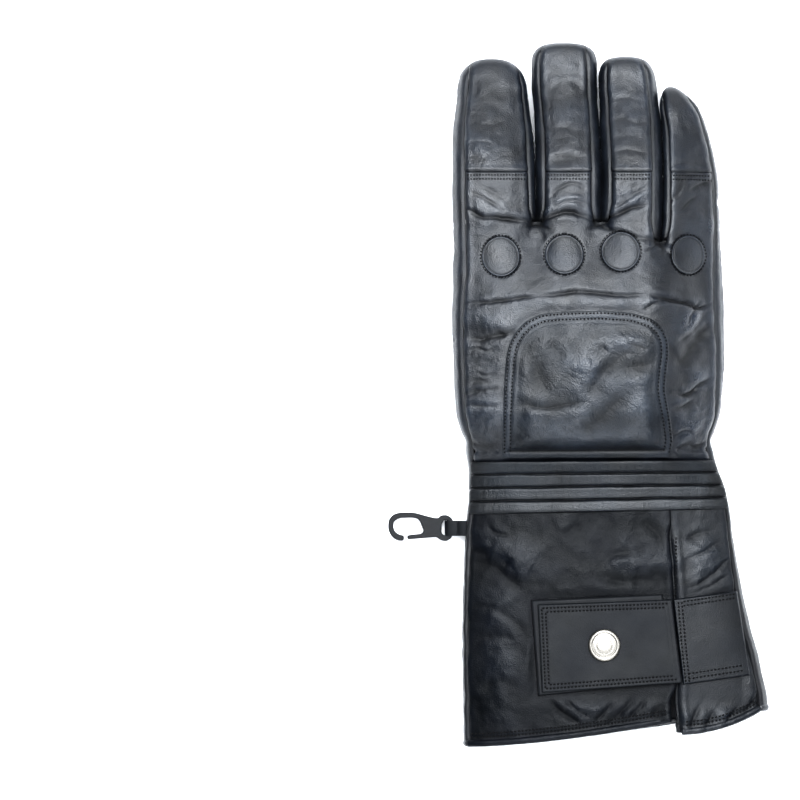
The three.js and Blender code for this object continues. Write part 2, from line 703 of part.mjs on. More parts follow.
// Where the slit lies across the cuff: it runs straight while the cuff widens
const slitAcross = (y) => mix(slitShare, slitTopShare, smooth(-0.86 * cuffLength, -0.43 * cuffLength, y));
const cuffRows = [0, 0.1, 0.2, 0.31, 0.43, 0.57, 0.72, 0.86, 1];
const cuffStart = (across) => bandEdge(mix(outerSeamX(-1, 0), outerSeamX(1, 0), across), 1) - seamGap / 2;
function cuffTop(side, columnCount) {
  const acrossAt = (y, column) => {
    const slit = slitAcross(y) + side * slitHalf();
    return side < 0 ? mix(0, slit, column) : mix(slit, 1, column);
  };
  return gridSolid(cuffRows.length, columnCount, (row, column, j) => {
    const start = cuffStart(acrossAt(0, column));
    const end = hemY(acrossAt(-cuffLength, column), side) + hemRoll;
    const y = mix(start, end, cuffRows[j]);
    return cuffPlace(y, acrossAt(y, column), 1);
  });
}

// The cuff's underside wraps both outer edges up to the back's seams: turnShare of its columns each
const soleColumns = 21;
const turnColumns = 3;
const roundColumns = soleColumns + 2 * turnColumns;
const turnShare = turnColumns / (roundColumns - 1);
const acrossOf = (round) => clamp((round - turnShare) / (1 - 2 * turnShare), 0, 1);
function cuffRound(y, round, extra) {
  const across = acrossOf(round);
  const side = round < turnShare ? -1 : round > 1 - turnShare ? 1 : 0;
  if (side === 0) return cuffPlace(y, across, -1, extra);
  const down = side < 0 ? round / turnShare : (1 - round) / turnShare;
  const x = outerSeamX(side, y);
  const top = point(x, y, skin(x, y, 1));
  const sole = point(x, y, skin(x, y, -1));
  const t = trunk(y);
  const outline = side < 0 ? t.left : t.right;
  const edge = seamGap / (top.z - sole.z);
  const at = wallPlace(top, sole, Math.abs(outline - x), side, mix(edge, 1, down));
  return { ...at, x: at.x + extra * at.sx, z: at.z + extra * at.sz };
}
function cuffSole() {
  return gridSolid(cuffRows.length + 1, roundColumns, (row, column, j, i) => {
    const across = acrossOf(column);
    const y = j === 0 ? -seamGap / 2 : mix(cuffStart(across), hemY(across, 0) + hemRoll, cuffRows[j - 1]);
    const place = cuffRound(y, column, 0);
    return across > 0 && across < 1 ? { ...place, z: place.z + gather(i, y) } : place;
  });
}

// A rolled hem: a thicker lip beyond the panel's edge
const hemStart = (across, part) => hemY(across, part) + hemRoll - seamGap;
function hemTop(side, columnCount) {
  const slit = slitShare + side * slitHalf();
  return gridSolid(3, columnCount, (row, column) => {
    const across = side < 0 ? mix(0, slit, column) : mix(slit, 1, column);
    const y = mix(hemStart(across, side), hemY(across, side), row);
    return cuffPlace(y, across, 1, hemLip + hemCrown * Math.sin(Math.PI * row));
  }, wall + hemExtra);
}
function hemSole() {
  return gridSolid(3, roundColumns, (row, column) => {
    const across = acrossOf(column);
    const y = mix(hemStart(across, 0), hemY(across, 0), row);
    return cuffRound(y, column, across === 0 || across === 1 ? hemLip : 0);
  }, wall + hemExtra);
}

// A pad laid on the back, or under the palm: rings from its outline to its middle
function pad(side, centre, outline, ringShares, sides, height, crown) {
  const rings = ringShares.length;
  const places = [];
  const quads = [];
  const put = (x, y, share) => {
    const thick = height * crown(share);
    const z = skin(x, y, side).z + side * (padSeat + thick);
    places.push({ x, y, z, sx: 0, sy: 0, sz: side * thick });
  };
  for (let r = 0; r < rings; r += 1) {
    for (let s = 0; s < sides; s += 1) {
      const edge = outline((s / sides) * 2 * Math.PI);
      const share = ringShares[r];
      put(centre.x + edge.x * share, centre.y + edge.y * share, share);
    }
  }
  put(centre.x, centre.y, 0);
  const last = places.length - 1;
  for (let r = 0; r < rings; r += 1) {
    for (let s = 0; s < sides; s += 1) {
      const n = (s + 1) % sides;
      if (r < rings - 1) quads.push([r * sides + s, r * sides + n, (r + 1) * sides + n, (r + 1) * sides + s]);
      else quads.push([r * sides + s, r * sides + n, last]);
    }
  }
  return sheetSolid(places, quads, 1);
}
const discRows = [
  { x: -0.323, y: 0.87, wide: 0.98, long: 1.04 },
  { x: -0.092, y: 0.876, wide: 1, long: 1 },
  { x: 0.114, y: 0.888, wide: 1, long: 1 },
  { x: 0.364, y: 0.877, wide: 0.9, long: 1 },
];
const discCrown = (share) => (share > 0.9 ? 0.5 : share > 0.6 ? 1 : 0.85);
function knuckleDisc(row) {
  const outline = (a) => ({ x: Math.cos(a) * discRadius * row.wide, y: Math.sin(a) * discRadius * row.long });
  return pad(1, { x: lateral(row.x), y: forward(row.y) }, outline, [1, 0.7, 0.36], 12, discHeight, discCrown);
}
function roundedOutline(width, length, narrowing) {
  return (a) => {
    const c = Math.cos(a);
    const s = Math.sin(a);
    const n = 3.2;
    const r = 1 / Math.pow(Math.pow(Math.abs(c), n) + Math.pow(Math.abs(s), n), 1 / n);
    const narrow = mix(1, 1 - narrowing, clamp(s * r, 0, 1));
    return { x: (c * r * width * narrow) / 2, y: (s * r * length) / 2 };
  };
}
const padCrown = (share) => (share > 0.95 ? 0.45 : share > 0.7 ? 1 : 0.8);
const heelCentre = { x: lateral(0.232), y: forward(0.56) };

// Flat leather laid over the cuff, its under face above whatever lies below it
function overlay(corners, rows, cols, raise, thickness) {
  const [a, b, c, d] = corners.map((p) => ({ x: lateral(p.x), y: cuffLength * p.y }));
  return gridSolid(rows, cols, (v, u) => {
    const x = mix(mix(a.x, b.x, u), mix(d.x, c.x, u), v);
    const y = mix(mix(a.y, b.y, u), mix(d.y, c.y, u), v);
    return { x, y, z: skin(x, y, 1).z + raise + thickness, sx: 0, sy: 0, sz: 1 };
  }, thickness);
}

// The thumb's skin at one row and place across: side 1 faces the palm, -1 the surface below
function thumbRow(at) {
  const row = {};
  for (const key of ["y", "left", "right", "lip", "full", "open"]) row[key] = along(thumbRows, key, at);
  return { ...row, y: forward(row.y), left: lateral(row.left), right: lateral(row.right) };
}
function thumbPlace(at, across, side) {
  const row = thumbRow(at);
  const share = mix(-1, 1, across);
  const x = mix(row.left, row.right, across);
  const room = lift(x, row.y) - 3 * seamGap;
  const edge = mix(row.lip, 0.5, across);
  const rise = arch(share, thumbPower) * row.full;
  const reach = side > 0 ? 1 - edge : -edge;
  const end = smooth(0.86, 1, at) - 1 + smooth(0, 0.12, at);
  const z = room * (edge + reach * rise) + (side * seamGap) / 2;
  const rested = Math.max(side > 0 ? z : z - restFlat, 0);
  return { x, y: row.y, z: rested, sx: share, sy: end, sz: side * rise, loose: true };
}
const thumbStations = thumbRows.map((row) => row.at);
function thumbSkin(side) {
  return gridSolid(thumbStations.length, 7, (row, column, j) => {
    const at = thumbStations[j];
    const from = side > 0 ? thumbRow(at).open : 0;
    return thumbPlace(at, mix(from, 1, column), side);
  });
}
function thumbOpening() {
  const open = thumbRows.filter((row) => row.open > 0);
  const inset = (wall + seamGap) / palmWidth;
  const left = open.map((row) => ({ x: row.left + inset, y: row.y }));
  const right = open.map((row) => ({ x: mix(row.left, row.right, row.open), y: row.y })).reverse();
  return [...left, ...right];
}

// The snap's cap, turned about its own axis and seated square on the tab
function snapCap() {
  const profile = [
    [0, 0], [0.94, 0], [1, 0.3], [0.95, 0.62], [0.82, 0.8], [0.7, 0.72], [0.62, 0.86], [0.3, 1], [0, 1.02],
  ];
  const line = profile.map(([r, h]) => new THREE.Vector2(r * snapRadius, h * snapHeight));
  const cap = new THREE.LatheGeometry(line, 14);
  cap.rotateX(Math.PI / 2);
  const at = { x: lateral(snapPlace.x), y: snapPlace.y * cuffLength };
  const slopeX = (skin(at.x + snapRadius, at.y, 1).z - skin(at.x - snapRadius, at.y, 1).z) / (2 * snapRadius);
  const slopeY = (skin(at.x, at.y + snapRadius, 1).z - skin(at.x, at.y - snapRadius, 1).z) / (2 * snapRadius);
  const normal = new THREE.Vector3(-slopeX, -slopeY, 1).normalize();
  cap.applyQuaternion(new THREE.Quaternion().setFromUnitVectors(new THREE.Vector3(0, 0, 1), normal));
  const seat = skin(at.x, at.y, 1).z + padSeat + patchThickness + strapThickness + 3 * seamGap;
  cap.translate(at.x, at.y, seat);
  return cap;
}

// The clip lies flat beside the cuff: a slotted ring, a neck and an open loop
const ringX = () => trunk(-loopPlace * cuffLength).left - ringReach;
const clipBase = loopThickness + seamGap;
function flatSolid(shape, depth) {
  return toSolid(new THREE.ExtrudeGeometry(shape, { depth, bevelEnabled: false, curveSegments: 8 }));
}
function ellipse(x, y, wide, tall) {
  const shape = new THREE.Shape();
  shape.absellipse(x, y, wide / 2, tall / 2, 0, 2 * Math.PI);
  return shape;
}
function box(x, y, wide, tall) {
  const shape = new THREE.Shape();
  shape.moveTo(x - wide / 2, y - tall / 2);
  shape.lineTo(x + wide / 2, y - tall / 2);
  shape.lineTo(x + wide / 2, y + tall / 2);
  shape.lineTo(x - wide / 2, y + tall / 2);
  return shape;
}
function clip() {
  const clipX = -(ringWide / 2 + clipNeck - clipRod + clipLength / 2);
  const slotX = ringWide / 2 - ringBar - slotWidth / 2;
  const depth = hookThickness;
  const solid = flatSolid(ellipse(0, 0, ringWide, ringTall), depth)
    .add(flatSolid(box(-(ringWide / 2 + clipNeck) / 2, 0, clipNeck + ringWide / 2, 0.62 * ringTall), depth))
    .add(flatSolid(ellipse(clipX, 0, clipLength, clipTall), depth))
    .subtract(flatSolid(box(slotX, 0, slotWidth, slotLength), depth))
    .subtract(flatSolid(ellipse(clipX, 0, clipLength - 2 * clipRod, clipTall - 2 * clipRod), depth))
    .subtract(flatSolid(box(clipX, -clipTall / 2, clipMouth, clipTall / 2), depth));
  const geometry = toGeometry(solid);
  geometry.translate(ringX(), -loopPlace * cuffLength, clipBase);
  return geometry;
}

// The leather loop round the ring's bar, its tail sewn against the cuff's side
function hookLoop() {
  const right = ringX() + ringWide / 2 + seamGap;
  const left = ringX() + ringWide / 2 - ringBar - seamGap;
  const low = loopThickness;
  const high = clipBase + hookThickness + seamGap;
  const top = high + loopThickness;
  const y = -loopPlace * cuffLength;
  const wallX = Math.min(...[-0.5, 0, 0.5].map((s) => trunk(y + s * loopWidth).left)) - seamGap;
  const shape = new THREE.Shape();
  shape.moveTo(left - loopThickness, 0);
  shape.lineTo(right + loopThickness, 0);
  shape.lineTo(wallX, trunk(y).half - loopThickness);
  shape.lineTo(wallX, trunk(y).half + loopThickness);
  shape.lineTo(right + loopThickness, top);
  shape.lineTo(left - loopThickness, top);
  const hole = new THREE.Path();
  hole.moveTo(left, low);
  hole.lineTo(left, high);
  hole.lineTo(right, high);
  hole.lineTo(right, low);
  shape.holes.push(hole);
  const geometry = new THREE.ExtrudeGeometry(shape, { depth: loopWidth, bevelEnabled: false });
  geometry.rotateX(Math.PI / 2);
  geometry.translate(0, y + loopWidth / 2, 0);
  return geometry;
}

const palmWhole = toSolid(handPanel(-1)).subtract(prism(thumbOpening()));
add("palm", toGeometry(palmWhole.subtract(prism(palmForkLine, seamGap))));
add("palm_gusset", toGeometry(palmWhole.intersect(prism(palmForkLine))));
add("back_hand", handPanel(1));
fingers.forEach((finger, f) => add(`${finger.name}_top`, fingerTop(f)));
for (let g = 0; g < 3; g += 1) add(`fourchette_${g + 1}`, fourchette(g));
add("side_index", handSide(-1));
add("side_little", handSide(1));
discRows.forEach((row, i) => add(`knuckle_disc_${i + 1}`, knuckleDisc(row), padded));
const padOutline = roundedOutline(padWidth, padLength, padNarrowing);
const padRings = [1, 0.92, 0.78, 0.6, 0.35];
add("back_pad", pad(1, padCentre, padOutline, padRings, 24, padHeight, padCrown), padded);
add("wrist_ribs", wristRibs(), padded);
add("cuff_back", cuffTop(-1, 12));
add("cuff_side", cuffTop(1, 5));
add("cuff_palm", cuffSole());
add("hem_back", hemTop(-1, 12));
add("hem_side", hemTop(1, 5));
add("hem_palm", hemSole());
const thumbWhole = toSolid(thumbSkin(-1));
add("thumb_outer", toGeometry(thumbWhole.subtract(prism(thumbForkLine, seamGap))));
add("thumb_gusset", toGeometry(thumbWhole.intersect(prism(thumbForkLine))));
add("thumb_inner", thumbSkin(1));
const heelOutline = roundedOutline(heelPatchWidth, heelPatchLength, 0);
add("heel_patch", pad(-1, heelCentre, heelOutline, [1, 0.5], 16, patchThickness, () => 1));
add("strap_patch", overlay([
  { x: -0.213, y: -0.427 }, { x: 0.279, y: -0.4 }, { x: 0.322, y: -0.76 }, { x: -0.184, y: -0.81 },
], 6, 7, padSeat, patchThickness));
add("strap_tab", overlay([
  { x: -0.188, y: -0.442 }, { x: 0.3, y: -0.423 }, { x: 0.336, y: -0.747 }, { x: -0.173, y: -0.782 },
], 6, 7, padSeat + patchThickness + 2 * seamGap, strapThickness));
add("strap_end", overlay([
  { x: 0.306, y: -0.422 }, { x: 0.54, y: -0.391 }, { x: 0.577, y: -0.728 }, { x: 0.342, y: -0.749 },
], 6, 4, padSeat, strapThickness));
add("snap_cap", snapCap(), nickel);
add("hook_loop", hookLoop());
add("hook", clip(), plastic);

// The glove stands on the origin's plane, with the origin under the middle of its outline
const outline = new THREE.Box3().setFromObject(group);
const middle = outline.getCenter(new THREE.Vector3());
group.position.set(-middle.x, -middle.y, -outline.min.z);
const glove = new THREE.Group();
glove.add(group);
export default glove;
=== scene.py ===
import math

import bpy
import numpy as np
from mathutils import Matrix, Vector
from mathutils.bvhtree import BVHTree


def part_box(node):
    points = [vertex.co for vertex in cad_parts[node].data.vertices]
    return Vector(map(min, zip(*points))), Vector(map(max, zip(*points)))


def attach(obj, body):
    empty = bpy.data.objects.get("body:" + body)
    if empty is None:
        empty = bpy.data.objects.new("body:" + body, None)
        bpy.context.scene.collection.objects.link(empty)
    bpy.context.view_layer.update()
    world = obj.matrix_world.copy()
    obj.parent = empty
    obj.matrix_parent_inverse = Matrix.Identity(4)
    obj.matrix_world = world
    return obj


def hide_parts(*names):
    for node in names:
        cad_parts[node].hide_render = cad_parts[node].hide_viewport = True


# A right-hand leather gauntlet glove, palm down. Sizes here are millimetres until a mesh is made.
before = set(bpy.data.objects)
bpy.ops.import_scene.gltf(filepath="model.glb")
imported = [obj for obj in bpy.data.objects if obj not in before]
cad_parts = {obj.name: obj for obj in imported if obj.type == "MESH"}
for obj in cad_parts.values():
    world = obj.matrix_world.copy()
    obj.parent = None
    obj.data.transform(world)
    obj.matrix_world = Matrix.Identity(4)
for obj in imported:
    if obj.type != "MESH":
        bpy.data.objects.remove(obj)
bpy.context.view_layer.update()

glove = {
    "width": 122, "hand": 120, "finger": 81, "cuff": 115,
    "handThick": 26, "fingerThick": 19, "cuffThick": 24, "thumbThick": 17,
    "gap": 0.3, "bandTop": 13, "bandBottom": 11, "bandTilt": 2.6,
    "fingerSeam": 0.275, "slit": 0.72, "slitTop": 0.775,
    "sideHemRise": 0.049, "soleHemRise": 0.139, "hemRise": 0.167,
    "detail": 0.55,  # spacing of the mesh on the back
    "seed": 11,
}
palmWide, handLong, fingerLong, cuffLong = glove["width"], glove["hand"], glove["finger"], glove["cuff"]
step = glove["detail"] * 1
thumbLift = glove["thumbThick"] + 3 * glove["gap"]

# Rows of the hand and cuff: shares of the hand's length above the wrist and of the cuff's below it
trunkRows = {
    "at": [-1, -0.8, -0.42, -0.2, 0, 0.1, 0.17, 0.28, 0.42, 0.64, 0.82, 1],
    "left": [-0.456, -0.46, -0.46, -0.452, -0.439, -0.441, -0.454, -0.482, -0.493, -0.5, -0.497, -0.496],
    "right": [0.676, 0.658, 0.574, 0.537, 0.508, 0.472, 0.459, 0.486, 0.5, 0.502, 0.496, 0.485],
    "insetLeft": [0.012, 0.012, 0.012, 0.012, 0.014, 0.016, 0.02, 0.026, 0.028, 0.032, 0.04, 0.039],
    "insetRight": [0.034, 0.032, 0.026, 0.016, 0.012, 0.012, 0.018, 0.02, 0.024, 0.033, 0.033, 0.02],
    "thick": [1, 1, 0.96, 0.9, 0.84, 0.86, 0.9, 0.96, 1, 1, 0.95, 0.84],
}
fingers = [
    {"name": "index", "long": 0.912, "tip": 15.5, "round": 2.5, "seamLeft": 0.74, "seamRight": 0.88,
     "at": [-0.2, 0.28, 0.58, 0.76, 1], "left": [-0.496, -0.5, -0.496, -0.484, -0.478],
     "right": [-0.196, -0.199, -0.207, -0.221, -0.232]},
    {"name": "middle", "long": 1, "tip": 9.5, "round": 2.9, "seamLeft": 0.79, "seamRight": 0.74,
     "at": [-0.2, 0.29, 0.57, 0.79, 1], "left": [-0.191, -0.193, -0.196, -0.208, -0.206],
     "right": [0.04, 0.046, 0.039, 0.0345, 0.031]},
    {"name": "ring", "long": 0.923, "tip": 9.5, "round": 2.9, "seamLeft": 0.77, "seamRight": 0.7,
     "at": [-0.2, 0.3, 0.62, 0.86, 1], "left": [0.045, 0.051, 0.0445, 0.0395, 0.041],
     "right": [0.263, 0.269, 0.265, 0.25, 0.236]},
    {"name": "little", "long": 0.757, "tip": 14.5, "round": 2.2, "seamLeft": 0.84, "seamRight": 0.82,
     "at": [-0.2, 0.38, 0.7, 0.88, 1], "left": [0.269, 0.275, 0.27, 0.258, 0.248],
     "right": [0.488, 0.476, 0.438, 0.4, 0.362]},
]
forkShares = [1.0, 1.0, 0.925]
blendShare = 0.72
thumbRows = {
    "at": [0, 0.08, 0.17, 0.29, 0.42, 0.52, 0.64, 0.74, 0.85, 0.93, 0.98, 1],
    "y": [0.14, 0.19, 0.27, 0.4, 0.53, 0.62, 0.76, 0.88, 1.01, 1.1, 1.155, 1.175],
    "left": [-0.15, -0.215, -0.275, -0.33, -0.362, -0.372, -0.29, -0.225, -0.15, -0.08, -0.02, 0.03],
    "right": [-0.08, -0.035, -0.005, 0.03, 0.065, 0.094, 0.15, 0.18, 0.204, 0.19, 0.14, 0.09],
    "lip": [1, 1, 1, 1, 1, 0.94, 0.7, 0.52, 0.5, 0.5, 0.5, 0.5],
    "full": [0.6, 0.85, 1, 1, 1, 1, 1, 1, 1, 0.86, 0.6, 0.3],
}

# where the CAD put the glove's wrist point, read from the snap, which sits at 0.057 and -0.6
snapLow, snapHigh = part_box("snap_cap")
wristX = (snapLow[0] + snapHigh[0]) * 500 - 0.057 * palmWide
wristY = (snapLow[1] + snapHigh[1]) * 500 + 0.6 * cuffLong


def spot(px, py):
    # a place read off the photograph, whose 800 pixels span 359 mm
    return (np.asarray(px, float) - 588) / 272 * palmWide, (490 - np.asarray(py, float)) * 0.45


def spots(pairs):
    pairs = np.asarray(pairs, float)
    x, y = spot(pairs[:, 0], pairs[:, 1])
    return np.stack([x, y], 1)


def together(x, y):
    return np.broadcast_arrays(np.asarray(x, float), np.asarray(y, float))


def mix(a, b, t):
    return a + (b - a) * t


def smooth(a, b, v):
    t = np.clip((v - a) / (b - a), 0, 1)
    return t * t * (3 - 2 * t)


def hump(v, wide):
    return np.exp(-(v / wide) ** 2)


def root(v, n):
    return np.maximum(v, 0) ** (1 / n)


def arch(share, n):
    return root(1 - np.minimum(np.abs(share), 1) ** n, n)


def along(rows, column, at):
    # a smooth curve through one column of a table
    x = np.asarray(rows["at"], float)
    v = np.asarray(rows[column], float)
    slope = np.gradient(v, x)
    at = np.clip(np.asarray(at, float), x[0], x[-1])
    i = np.clip(np.searchsorted(x, at) - 1, 0, len(x) - 2)
    wide = x[i + 1] - x[i]
    t = (at - x[i]) / wide
    a = v[i] * (1 + 2 * t) * (1 - t) ** 2 + slope[i] * wide * t * (1 - t) ** 2
    return a + v[i + 1] * t * t * (3 - 2 * t) + slope[i + 1] * wide * t * t * (t - 1)


def trunk(y):
    at = np.where(np.asarray(y) >= 0, np.asarray(y) / handLong, np.asarray(y) / cuffLong)
    full = mix(glove["cuffThick"], glove["handThick"], smooth(-0.2, 0.2, at))
    row = {key: palmWide * along(trunkRows, key, at) for key in ("left", "right", "insetLeft", "insetRight")}
    row["half"] = along(trunkRows, "thick", at) * full / 2
    return row


def tipY(f):
    return handLong + fingers[f]["long"] * fingerLong


def forkY(g):
    return forkShares[g] * handLong


def tipStart(f):
    return tipY(f) - fingers[f]["tip"]


def tipShare(f, y):
    return np.clip((y - tipStart(f)) / fingers[f]["tip"], 0, 1)


def tipEase(f, y):
    # the rolls beside the seams fade towards a fingertip
    return 1 - 0.93 * smooth(0.25, 0.76, tipShare(f, y))


def fingerAt(f, y):
    at = (np.asarray(y, float) - handLong) / (fingers[f]["long"] * fingerLong)
    left = palmWide * along(fingers[f], "left", at)
    right = palmWide * along(fingers[f], "right", at)
    return (left + right) / 2, (right - left) / 2, glove["fingerThick"] / 2 * mix(1.02, 0.9, np.clip(at, 0, 1))


def seamShare(f, side, y):
    base = -fingers[f]["seamLeft"] if side < 0 else fingers[f]["seamRight"]
    return base * (1 - 0.22 * tipShare(f, y) ** 2)


def seamX(f, side, y):
    mid, wide, _ = fingerAt(f, y)
    return mid + seamShare(f, side, y) * wide


def lift(x, y):
    heel = smooth(-0.02 * handLong, 0.3 * handLong, y)
    tip = 1 - smooth(1.14 * handLong, handLong + fingerLong * 0.86, y)
    return thumbLift * heel * tip * (1 - smooth(0.215 * palmWide, 0.5 * palmWide, x))


def fingerSkin(f, x, y, side):
    mid, wide, half = fingerAt(f, y)
    share = np.clip((x - mid) / wide, -1, 1)
    tau = tipShare(f, y)
    k = arch(tau, fingers[f]["round"])
    rise = root(k ** 2.5 - np.abs(share) ** 2.5, 2.5)
    high = np.maximum(half * rise, 0.15)
    return np.stack([half + side * high, share, tau, side * rise])


def fingerOrFork(x, y, side):
    out = fingerSkin(3, x, y, side)
    for g in (2, 1, 0):
        a, b = seamX(g, 1, y), seamX(g + 1, -1, y)
        p, q = fingerSkin(g, a, y, side), fingerSkin(g + 1, b, y, side)
        t = np.clip((x - a) / np.maximum(b - a, 1e-6), 0, 1)
        web = mix(p, q, t)
        web[2] = 0.75 * (1 - smooth(0, 7, forkY(g) - y))
        out = np.where(x < b, web, out)
        out = np.where(x <= a, fingerSkin(g, x, y, side), out)
    return out


def softHeight(x, y):
    # the back's height, evened out across the hand below the crotches
    total = 0
    for off, part in ((-4.5, 0.12), (-2.6, 0.2), (-1, 0.18), (1, 0.18), (2.6, 0.2), (4.5, 0.12)):
        total = total + part * skin(x + off, y, 1, soft=False)[0]
    return total


def skin(x, y, side, f=None, soft=True):
    # height and outward direction of the skin, side 1 on the back and -1 under the palm
    x, y = together(x, y)
    t = trunk(y)
    mid = (t["left"] + t["right"]) / 2
    share = np.clip((x - mid) / ((t["right"] - t["left"]) / 2), -1, 1)
    rise = arch(share, 2.6 if side > 0 else 4)
    whole = np.stack([t["half"] * (1 + side * rise), share, 0 * share, side * rise])
    one = fingerOrFork(x, y, side) if f is None else fingerSkin(f, x, y, side)
    weight = smooth(blendShare * handLong, handLong, y)
    out = mix(whole, one, weight)
    out[2] = np.where(weight > 0, one[2], 0)
    if side > 0 and f is None and soft and np.any(weight > 0):
        inner = smooth(1.5, 9, forkDistance(x, y)) * smooth(0, 0.06, weight)
        inner = inner * smooth(0, 5, np.minimum(x - t["left"], t["right"] - x) - 5)
        out[0] = mix(out[0], softHeight(x, y), inner)
    if side < 0:
        out[0] = np.maximum(out[0] - 0.3, 0)
    return out


def backHigh(x, y):
    return skin(x, y, 1)[0] + lift(x, y)


# Smooth noise on a seeded lattice of slopes
turns = np.random.default_rng(glove["seed"]).uniform(0, 2 * math.pi, (256, 256))


def noise(x, y, size, seed=0):
    u, v = x / size + 31.7 * seed + 500, y / size + 11.3 * seed + 500
    i, j = np.floor(u).astype(int), np.floor(v).astype(int)
    fu, fv = u - i, v - j

    def corner(a, b):
        angle = turns[(i + a) & 255, (j + b) & 255]
        return np.cos(angle) * (fu - a) + np.sin(angle) * (fv - b)

    su, sv = fu ** 3 * (fu * (fu * 6 - 15) + 10), fv ** 3 * (fv * (fv * 6 - 15) + 10)
    low = mix(corner(0, 0), corner(1, 0), su)
    return 1.5 * mix(low, mix(corner(0, 1), corner(1, 1), su), sv)


def layers(x, y, size, count, seed=0):
    total, strength = 0, 1
    for n in range(count):
        total = total + strength * noise(x, y, size, seed + n)
        x, y = 0.8 * x - 0.6 * y, 0.6 * x + 0.8 * y
        size, strength = size / 2.03, strength * 0.5
    return total


def crinkle(x, y, size, seed=0, stretch=1.0, angle=0.0):
    # fine branching creases: thin valleys where a bent noise crosses zero
    c, s = math.cos(angle), math.sin(angle)
    u, v = (c * x + s * y) / stretch, c * y - s * x
    u = u + 0.9 * size * noise(x, y, size * 1.7, seed + 3)
    v = v + 0.9 * size * noise(x, y, size * 1.7, seed + 4)
    a = 1 - np.clip(np.abs(noise(u, v, size, seed)) * 5, 0, 1)
    b = 1 - np.clip(np.abs(noise(u, v, size * 0.55, seed + 9)) * 5, 0, 1)
    return -(a ** 2 + 0.6 * b ** 2)


def lengthAlong(line):
    return np.concatenate([[0], np.cumsum(np.hypot(*np.diff(line, axis=0).T))])


def atLengths(line, at):
    long = lengthAlong(line)
    return np.stack([np.interp(at, long, line[:, k]) for k in (0, 1)], 1)


def toLine(x, y, line):
    # distance to a line of points, share along it and the side of it
    best = np.full(np.shape(x), 1e9)
    share, hand = np.zeros(np.shape(x)), np.ones(np.shape(x))
    lengths = np.hypot(*np.diff(line, axis=0).T)
    total, gone = lengths.sum(), 0
    for a, b, long in zip(line[:-1], line[1:], lengths):
        dx, dy = (b - a) / max(long, 1e-9)
        t = np.clip((x - a[0]) * dx + (y - a[1]) * dy, 0, long)
        ex, ey = x - a[0] - t * dx, y - a[1] - t * dy
        d = np.hypot(ex, ey)
        near = d < best
        best = np.where(near, d, best)
        share = np.where(near, (gone + t) / total, share)
        hand = np.where(near, np.sign(dx * ey - dy * ex), hand)
        gone += long
    return best, share, hand


def curved(line, times=4):
    # the same line with smooth bends
    n = len(line)
    at = np.linspace(0, n - 1, (n - 1) * times + 1)
    slope = np.gradient(line, axis=0)
    i = np.minimum(at.astype(int), n - 2)
    t = (at - i)[:, None]
    return (line[i] * (1 + 2 * t) * (1 - t) ** 2 + slope[i] * t * (1 - t) ** 2
            + line[i + 1] * t * t * (3 - 2 * t) + slope[i + 1] * t * t * (t - 1))


def creases(x, y, rows, soft=1.0):
    # each row: depth of its valley, half width, height of the fold above it, then its points
    total = np.zeros(np.shape(x))
    for n, (depth, wide, puff, pairs) in enumerate(rows):
        line = curved(spots(pairs))
        wide = wide * soft
        low, high = line.min(0) - 9 * wide, line.max(0) + 9 * wide
        inside = (x > low[0]) & (x < high[0]) & (y > low[1]) & (y < high[1])
        if not inside.any():
            continue
        u, v = x[inside], y[inside]
        d, share, hand = toLine(u, v, line)
        long = np.hypot(*np.diff(line, axis=0).T).sum()
        run = share * long
        vary = 1 + 0.5 * noise(run, run * 0 + 7 * n, 6, 21)
        d = np.abs(d * hand + 0.28 * noise(run, run * 0 + 3 * n, 3.1, 22))
        ends = smooth(-0.02, 0.3, share) * smooth(-0.02, 0.3, 1 - share)
        sharp = 1.2 if wide < 1.1 else 1.7
        depth = depth * (0.75 if wide < 0.65 else 1)
        valley = -depth * vary * np.exp(-(d / (wide * (0.8 + 0.3 * vary))) ** sharp)
        valley -= (0.34 if wide < 1.6 else 0) * min(depth, 1.2) * vary * hump(d, 0.5)
        over = np.where(hand > 0, 1.3, 0.25)
        pad = 0.65 * puff * over * hump(d - 3.2 * wide, 2.8 * wide)
        across = 0.16 * min(depth, 1) * noise(run * 1.0, d * 0.25 + 5 * n, 1.15, 23) * np.exp(-d / 2.4)
        total[inside] += (valley + pad + across) * ends
    return total


def swells(x, y, rows):
    # soft rises and dents: height, centre, two radii and a turn in degrees
    total = np.zeros(np.shape(x))
    for high, px, py, long, wide, turn in rows:
        cx, cy = spot(px, py)
        c, s = math.cos(math.radians(turn)), math.sin(math.radians(turn))
        u, v = (x - cx) * c + (y - cy) * s, (y - cy) * c - (x - cx) * s
        total += high * np.exp(-(u / long) ** 2 - (v / wide) ** 2)
    return total


def rolled(edge, radius, depth):
    # how far a turned-in edge drops, edge being the distance to it
    t = np.clip(edge / radius, 0, 1)
    return -depth * (1 - np.sqrt(1 - (1 - t) ** 2))


